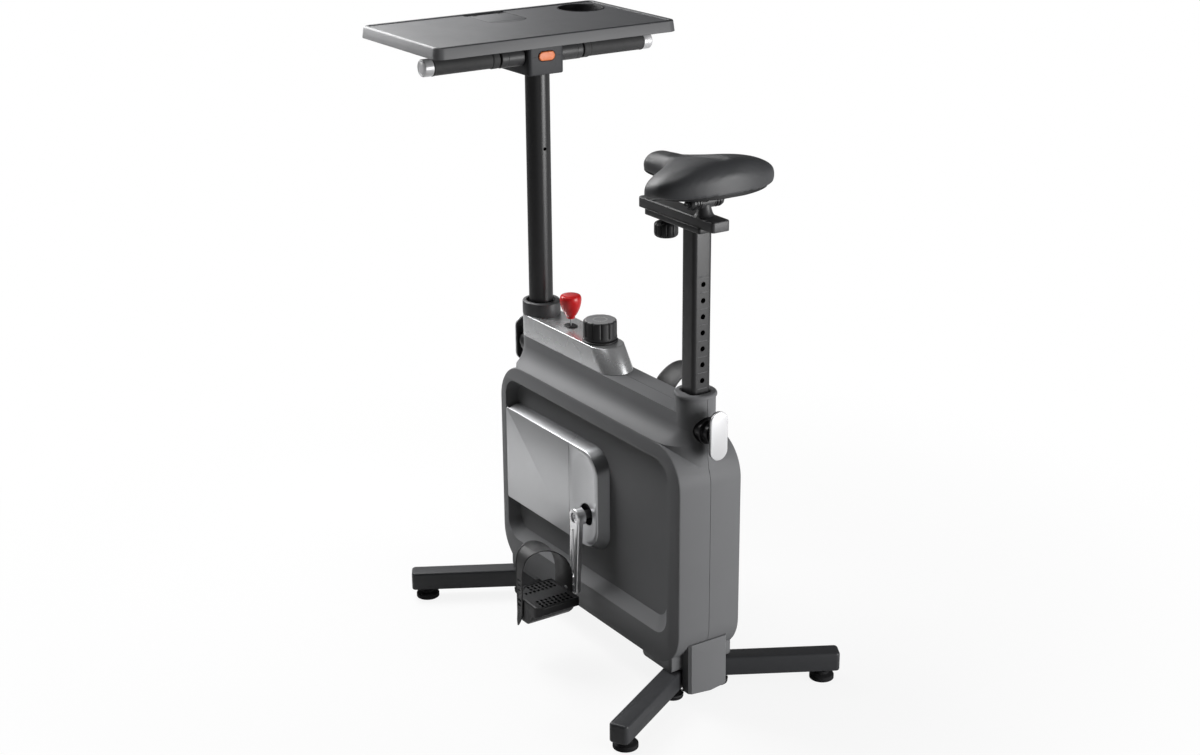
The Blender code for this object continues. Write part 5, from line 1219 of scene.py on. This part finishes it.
# Cranks: polished arms that lean outwards, with a groove along the face and a dark bolt in the hub
def makeCrankArm(side, name):
    reach, outer, inner, lean = crank["length"], crank["outer"], crank["inner"], crank["lean"]
    hub, tip = (crank["x"], crank["z"]), (crank["x"], crank["z"] + side * reach)

    def outline(grow):
        return link(hub, crank["root"], tip, crank["tip"], grow, 20)
    arm = softPrism(name + "_form", outline, -outer, -inner, 0.0035, 0.0018, "y")
    for vertex in arm.data.vertices:
        vertex.co.y -= lean * min(abs(vertex.co.z - hub[1]) / reach, 1)
    fuse(arm, softPrism("hub", lambda grow: disc(*hub, crank["hub"] + grow), -outer - 0.0005,
                        -inner + 0.006, 0.0030, 0.0012, "y", 6))
    top, low = (hub[0], hub[1] + side * 0.030), (hub[0], hub[1] + side * (reach - 0.028))
    groove = [(link(top, wide, low, narrow, 0, 14), -outer - above)
              for wide, narrow, above in crank["groove"]]
    carve(arm, loft("groove", groove, "y"),
          rod("spindleBore", hub, crank["spindleHole"], -0.2, 0, "y"),
          rod("boltRecess", hub, crank["boltHole"], -0.2, -crank["boltFloor"], "y", 64),
          rod("pedalBore", tip, crank["pedalHole"], -0.2, 0, "y"))
    bolt = turned(name.replace("arm", "bolt"), eased(crank["bolt"], 0.0004), hub, "y", 48)
    ring = turned(name.replace("arm", "ring"), eased(crank["ring"], 0.0003, 2, True), hub, "y", 72,
                  True)
    for piece in (arm, bolt, ring):
        if side > 0:
            turnedOver(piece)
    dress(tidied(arm, 0.0005), name)
    dress(bolt, name, "steel", False)
    dress(ring, name, "chrome", False)


for side, sideName in sides:
    makeCrankArm(side, sideName + "_crank_arm")

# Pedals: a rimmed tread with two fields of short slots, and a deep weighted belly
pedal = dict(
    inner=0.1170, outer=0.2140, half=0.053, top=0.0070, belly=0.042, rim=0.0014, rimWide=0.0038,
    slotPitch=0.0094, slotHalf=0.0041, slotWide=0.0026, slotCorner=0.0012, bore=0.0049,
    strapX=-0.010, hookRoot=0.0100, hookTip=0.0065,
    slots=((-0.0415, 6), (-0.0310, 6), (-0.0205, 8), (0.0205, 8), (0.0310, 8), (0.0415, 8)),
    side=[(0.0, 0.0070), (0.053, 0.0070), (0.053, -0.010), (0.045, -0.0135), (0.034, -0.016),
          (0.026, -0.030), (0.012, -0.042), (0.0, -0.042)])


def pedalProfile(grow):
    half, top, belly = pedal["half"], pedal["top"], pedal["belly"]
    right = eased(pedal["side"], 0.0040, 4)[1:-1]
    points = right + [(-u, v) for u, v in right[::-1]]
    middle, tall = (top - belly) / 2, (top + belly) / 2
    return [(u * (1 + grow / half), middle + (v - middle) * (1 + grow / tall))
            for u, v in points[::-1]]


def pedalPlan(grow):
    half, inner, outer = pedal["half"] - grow, -pedal["inner"] - grow, -pedal["outer"] + grow
    return eased([(-half, inner), (-half, outer + 0.030), (-half + 0.030, outer),
                  (half - 0.010, outer), (half, outer + 0.010), (half, inner)], 0.008, 6, True)


def makePedal(side, name):
    p, x = pedal, pedal["strapX"]
    inner, outer, top = -p["inner"], -p["outer"], p["top"]
    axle = crank["x"], 0, crank["z"] + side * crank["length"]
    body = softPrism(name + "_form", pedalProfile, outer, inner, 0.004, 0.002, "y", 3)
    keepInside(body, prism("plan", pedalPlan(0.0), -0.06, 0.02))
    carve(body, prism("tread", pedalPlan(p["rimWide"]), top - p["rim"], 0.03))
    for slotX, count in p["slots"]:
        slot = prism("slot", pad(slotX, 0, p["slotHalf"], p["slotWide"], p["slotCorner"], 0, 2),
                     -0.006, 0.02)
        first = inner - 0.0120 - (0.0012 if abs(slotX) > 0.03 else 0)
        carve(body, repeated(slot, "row", count, "treadPlastic", (0, first, 0),
                             (0, -p["slotPitch"], 0)))
    carve(body, rod("bore", (0, 0), p["bore"], outer + 0.008, 0, "y", 32))
    # A lobe on the outer end, which the strap's ladder hooks on
    def hook(grow):
        return link((x, -0.004), p["hookRoot"], (x - 0.004, -0.030), p["hookTip"], grow, 12)
    lobe = softPrism(name + "_lobe", hook, outer - 0.0002, outer + 0.006, 0.0002, 0.001, "y", 2)
    low = -crank["outer"] - crank["lean"] - 0.0003
    profile = eased([(0.0046, outer + 0.009), (0.0046, inner + 0.0008), (0.0092, inner + 0.0008),
                     (0.0092, low), (0.0071, low), (0.0071, -crank["inner"] - crank["lean"])],
                    0.0005)
    spindle = turned(name + "_spindle_form", profile, (0, 0), "y", 48)
    for piece in (body, lobe, spindle):
        moved(turnedOver(piece) if side > 0 else piece, *axle)
    dress(tidied(body, 0.0003, segments=1), name)
    dress(lobe, name, None, False)
    dress(spindle, name + "_spindle")


# The toe strap: a channelled band over the shoe, narrowing to a ladder of slots and a pointed tail
strap = dict(
    offset=-0.010, thick=0.0024, rim=0.0012, steps=10, gap=0.0006, notch=0.0105, rungs=6,
    rungHalf=0.0058, rungWide=0.0023, rungCorner=0.0012, rungPitch=0.0105,
    # Along y, up, half the width; the second list is counted from the pedal's outer end
    over=[(-0.130, 0.078, 0.031), (-0.155, 0.099, 0.030), (-0.181, 0.106, 0.027),
          (-0.203, 0.098, 0.020)],
    ladder=[(0.002, 0.080, 0.015), (0, 0.052, 0.011), (0, -0.020, 0.0095), (-0.003, -0.040, 0.006),
            (-0.005, -0.050, 0.0012)])


def strapSection(half):
    rim = strap["rim"] * min(half / 0.02, 1)
    thick = strap["thick"] - rim
    upper = [(half, thick * 0.6), (half, thick + rim - 0.0003), (half - 0.0005, thick + rim),
             (half * 0.86, thick + rim), (half * 0.80, thick)]
    return ([(-half, 0.0004), (-half + 0.0006, 0.0), (half - 0.0006, 0.0), (half, 0.0004)]
            + upper + [(-u, v) for u, v in upper[::-1]])


def makeStrap(side, name):
    s, x = strap, strap["offset"]
    inner, outer = -pedal["inner"] + s["gap"], -pedal["outer"] - s["gap"]
    knots = [(inner, -0.006, 0.030), (inner, 0.045, 0.031)] + s["over"]
    path = smoothPath(knots + [(outer + y, z, half) for y, z, half in s["ladder"]], s["steps"])
    rings = []
    for i, (y, z, half) in enumerate(path):
        before, after = path[max(i - 1, 0)], path[min(i + 1, len(path) - 1)]
        run = Vector((after[0] - before[0], after[1] - before[1])).normalized()
        rings.append([(x + u, y + run.y * v, z - run.x * v) for u, v in strapSection(half)])
    band = skinned(name + "_form", rings, smoothAngle=40)
    carve(band, prism("notch", pill((0, 0), (0, -0.02), s["notch"], 0, 16), -0.13, -0.1, "y"))
    gap = pad(x, 0, s["rungHalf"], s["rungWide"], s["rungCorner"], 0, 3)
    rung = prism("rung", gap, outer - 0.02, outer + 0.02, "y")
    carve(band, repeated(rung, "row", s["rungs"], "strapRubber", (0, 0, -0.008),
                         (0, 0, s["rungPitch"])))
    if side > 0:
        turnedOver(band)
    dress(moved(band, crank["x"], 0, crank["z"] + side * crank["length"]), name)


for side, sideName in sides:
    makePedal(side, sideName + "_pedal")
    makeStrap(side, sideName + "_pedal_strap")
print("cranks and pedals made")

# The pull pins: a black ribbed carrier behind a pale pill-shaped plate
def makePullPin(end, name, p):
    centreX, tube = {-1: (post["x"], post["radius"]), 1: (casing["seatX"], post["seatHalf"])}[end]
    centre, flangeX = (0, p["z"]), centreX + end * (casing["ridge"] + p["flange"])
    barrelEnd = flangeX + end * p["barrel"]
    plate, reach = barrelEnd + end * (p["travel"] + 0.0040), p["plateHalf"]

    def span(a, b):
        return sorted((plate + end * a, plate + end * b))

    def face(grow):
        return pill((0, p["z"] - reach), (0, p["z"] + reach), p["plateRadius"], grow, 24)
    tip = centreX + end * (tube + 0.0003)
    body = rod(name + "_form", centre, p["rod"], *sorted((tip, plate + end * 0.003)), "x", 24)
    carrier = softPrism("carrier", lambda grow: face(grow - 0.0006), *span(0.0, 0.0042), 0.0010,
                        0.0003, "x", 3)
    for start in p["pocketsAt"]:
        pocket = prism("pocket", pad(0, 0, p["pocketWide"], p["pocketTall"], 0.001),
                       *span(-0.01, 0.0030), "x")
        carve(carrier, repeated(pocket, "row", 2, "trimBlack", (0, 0, p["z"] + start),
                                (0, 0, p["pocketPitch"])))
    fuse(body, rod("neck", centre, p["neck"], *span(-0.003, 0.002), "x"), carrier)
    dress(tidied(body, 0.0003), name, "trimBlack")
    edges = (0.0003, 0.0016)[::end]
    cap = softPrism(name + "_plate", face, *span(p["plateNear"], p["plateFar"]), *edges, "x", 4)
    dress(cap, name, "palePlate", False)
    # The frame's boss round the pin: a flange, a narrower barrel and a ring on its end
    boss = [(0.0236, centreX + end * (tube + 0.008))]
    boss += [(r, flangeX + end * x) for r, x in p["flangeEdge"]]
    boss += [(r, barrelEnd + end * x) for r, x in p["barrelEdge"]]
    ring = turned(name + "_boss", eased(boss, 0.0004), centre, "x", 72)
    carve(ring, rod("bore", centre, p["hole"], -0.5, 0.5, "x", 24))
    dress(ring, "steel_frame", "blackPaint", False)


makePullPin(-1, "front_pull_pin", pin)
makePullPin(1, "rear_pull_pin", pin)
print("pull pins made")

# The fore-and-aft slide, the knob under it, and the clamp across its neck
slide = dict(
    front=0.1465, rear=0.3725, low=0.9150, top=0.9345, knobX=0.2085, tiltX=0.3225, tiltZ=0.960,
    railY=0.0235, railThick=0.0036, half=0.0190, corner=0.006, slotHalf=0.046, slotWide=0.0055,
    head=0.0125, headHalf=0.0130, boltHole=0.0044, bolt=0.0040, boltHalf=0.0410, nut=0.0075,
    nutSpan=(0.0340, 0.0385),
    rail=[(-0.086, 0.0410), (-0.066, 0.0200), (-0.040, 0.0110), (0.0, 0.0105), (0.030, 0.0110),
          (0.050, 0.0220), (0.064, 0.0410)],
    jaw=[(0.0121, 0.0134), (0.0126, 0.0140), (0.0126, 0.0168), (0.0112, 0.0178), (0.0112, 0.0192),
         (0.0130, 0.0204), (0.0130, 0.0226), (0.0116, 0.0236), (0.0116, 0.0252), (0.0130, 0.0264),
         (0.0130, 0.0290), (0.0108, 0.0345)],
    # Radius, depth of the flutes, height
    knob=[(0.0145, 0, 0.8702), (0.0180, 0.0004, 0.8708), (0.0212, 0.0016, 0.8735),
          (0.0220, 0.0024, 0.8770), (0.0220, 0.0024, 0.8930), (0.0205, 0.0016, 0.8958),
          (0.0150, 0, 0.8985), (0.0095, 0, 0.8988)])


def makeSlide(s):
    low, top, x, reach, half = s["low"], s["top"], s["knobX"], s["slotHalf"], s["half"]
    tilt = tiltX, tiltZ = s["tiltX"], s["tiltZ"]
    body = softBox("slide_bar_form", (s["front"], s["rear"], -half, half, s["corner"]), low, top,
                   0.001, 0.0030)
    slot = pill((x - reach, 0), (x + reach, 0), s["slotWide"], 0, 12)
    carve(body, prism("slot", slot, low - 0.01, low + 0.009))
    neck = eased([(0.0195, top - 0.002), (0.0170, top + 0.001), (0.0150, top + 0.004),
                  (0.0124, tiltZ - 0.0135), (0.0110, tiltZ - 0.004)], 0.002)
    fuse(body, turned("neck", neck, (tiltX, 0), steps=48),
         rod("head", tilt, s["head"], -s["headHalf"], s["headHalf"], "y"))
    carve(body, rod("bolt", tilt, s["boltHole"], -0.05, 0.05, "y", 24))
    dress(tidied(body), "slide_bar", "sleevePaint")
    clamp = rod("saddle_clamp_form", tilt, s["bolt"], -s["boltHalf"], s["boltHalf"], "y", 24)
    for side in (-1, 1):
        jaw = [(r, side * y) for r, y in eased(s["jaw"], 0.0004)]
        rail = smoothPath([(along, side * s["railY"], up) for along, up in s["rail"]], 8)
        nut = softPrism("nut", lambda grow: disc(*tilt, s["nut"] + grow, 6),
                        *sorted(side * y for y in s["nutSpan"]), 0.0006, 0.0006, "y", 2)
        rail = bentRod("rail", [Vector((tiltX, 0, tiltZ)) + point for point in rail],
                       s["railThick"])
        fuse(clamp, turned("jaw", jaw, tilt, "y", 48), rail, nut)
    dress(clamp, "saddle_clamp")
    centre = (x, 0)
    rings = [(fluted(centre, radius, deep), z) for radius, deep, z in s["knob"]]
    handle = loft("slider_knob_form", rings, smoothAngle=50)
    fuse(handle, rod("collar", centre, 0.0090, 0.897, low - 0.0088),
         rod("screw", centre, 0.0042, 0.897, low + 0.0060))
    dress(handle, "slider_knob")


makeSlide(slide)
print("slide made")

# The saddle: a foam cushion swelled by a cloth simulation, with a channel pressed in along it
saddle = dict(
    nose=0.1545, rear=0.4080, stations=60, around=88, shrink=0.0020, voxel=0.0045, pressure=4.0,
    frames=20, cap=0.0035, heldRim=0.013, channel=0.0052, channelHalf=0.0140, fill=0.85,
    panShare=0.86, panDrop=0.0025, panThick=0.008)


def saddleHalf(s):
    nose = 0.0315 * (1 - (1 - min(s / 0.16, 1)) ** 2) ** 0.5
    tail = max((s - 0.70) / 0.30, 0)
    return max((nose + 0.0960 * ease(0.32, 0.67, s)) * (1 - tail ** 2.8) ** 0.56, 0.004)


def saddleCrown(s):
    noseFall = 0.006 * (1 - ease(0.15, 0.45, s)) + 0.004 * max(1 - s / 0.22, 0) ** 2
    endFall = 0.016 * max(1 - s / 0.14, 0) ** 2 + 0.022 * max((s - 0.88) / 0.12, 0) ** 2
    return 1.0315 - noseFall + 0.016 * ease(0.40, 0.85, s) - endFall


def saddleUnder(s):
    wingDrop = 0.0125 * ease(0.22, 0.40, s) * (1 - ease(0.54, 0.80, s))
    return 0.985 + 0.004 * max(1 - s / 0.3, 0) - wingDrop + 0.002 * ease(0.60, 0.96, s)


def saddleRing(s, x, shrink):
    half, crown, under = saddleHalf(s) - shrink, saddleCrown(s) - shrink, saddleUnder(s)
    shoulder = under + 0.006
    ring = []
    for i in range(saddle["around"]):
        turn = 2 * pi * (i + 0.5) / saddle["around"]
        y, rise = half * abs(cos(turn)) ** 0.80 * (1 if cos(turn) > 0 else -1), sin(turn)
        if rise > 0:
            droop = (0.008 + 0.14 * max(half - 0.045, 0)) * (abs(y) / half) ** 2.4
            z = shoulder + (crown - droop - shoulder) * rise ** 0.42
        else:
            y *= 1 + 0.04 * max(rise * 4, -1)
            z = under + 0.006 * max(1 + rise * 4, 0)
        ring.append((x, y, z))
    return ring


# Swells a closed form with Blender's cloth, from its rim up, and limits how far each point may go
def swelled(piece, s):
    modifier = piece.modifiers.new("voxels", "REMESH")
    modifier.mode, modifier.voxel_size = "VOXEL", s["voxel"]
    bake(piece)
    length = s["rear"] - s["nose"]
    rim = piece.vertex_groups.new(name="rim")
    before = [vertex.co.copy() for vertex in piece.data.vertices]
    held = [i for i, co in enumerate(before)
            if co.z < saddleUnder(min(max((co.x - s["nose"]) / length, 0), 1)) + s["heldRim"]]
    rim.add(held, 1.0, "REPLACE")
    cloth = piece.modifiers.new("puff", "CLOTH")
    cloth.settings.use_pressure = True
    cloth.settings.uniform_pressure_force = s["pressure"]
    cloth.settings.effector_weights.gravity = 0
    cloth.settings.vertex_group_mass = "rim"
    cloth.point_cache.frame_end = s["frames"]
    for step in range(1, s["frames"] + 1):
        bpy.context.scene.frame_set(step)
    bake(piece)
    far = 0
    for vertex, old in zip(piece.data.vertices, before):
        shift = vertex.co - old
        far = max(far, shift.length)
        if shift.length > s["cap"]:
            vertex.co = old + shift * (s["cap"] / shift.length)
    bpy.context.scene.frame_set(1)
    print("saddle swelled by up to %.1f mm" % (far * 1000))
    return piece


def makeSaddle(s):
    length, last = s["rear"] - s["nose"], s["stations"] - 1
    shares = [0.5 - 0.5 * cos(pi * (0.02 + 0.96 * k / last)) for k in range(s["stations"])]
    rings = [saddleRing(t, s["nose"] + length * t, s["shrink"]) for t in shares]
    cushion = swelled(skinned("saddle_cushion", rings, smoothAngle=60), s)
    for vertex in cushion.data.vertices:
        co = vertex.co
        share = (co.x - s["nose"]) / length
        reach = ease(0.25, 0.37, share) * (1 - ease(0.82, 0.92, share)) * ease(1.005, 1.020, co.z)
        co.z -= s["channel"] * max(1 - (co.y / s["channelHalf"]) ** 2, 0) * reach
    finer = cushion.modifiers.new("finer", "SUBSURF")
    finer.levels = finer.render_levels = 1
    bake(cushion)
    cushion.data.shade_smooth()
    dress(cushion, "saddle")
    rings = []
    for t in shares[2:-2]:
        half, low = saddleHalf(t) * s["panShare"], saddleUnder(t) - s["panDrop"]
        across = roundedBox(-half, half, low, low + s["panThick"], 0.0020, 0, 3)
        rings.append([(s["nose"] + length * t, y, z) for y, z in across])
    dress(skinned("saddle_pan", rings), "saddle", "saddlePan", False)


makeSaddle(saddle)
print("saddle made")

# Finer twins of the CAD's own forms, where only their edges want rounding
twinSet = {"front_foot_cover": (0.0012, 30), "rear_foot_cover": (0.0012, 30),
           "steel_frame": (0.0004, 34)}
for node, (width, angle) in twinSet.items():
    dress(finerTwin(node, width, angle), node)
print("twins made:", len(twinSet))
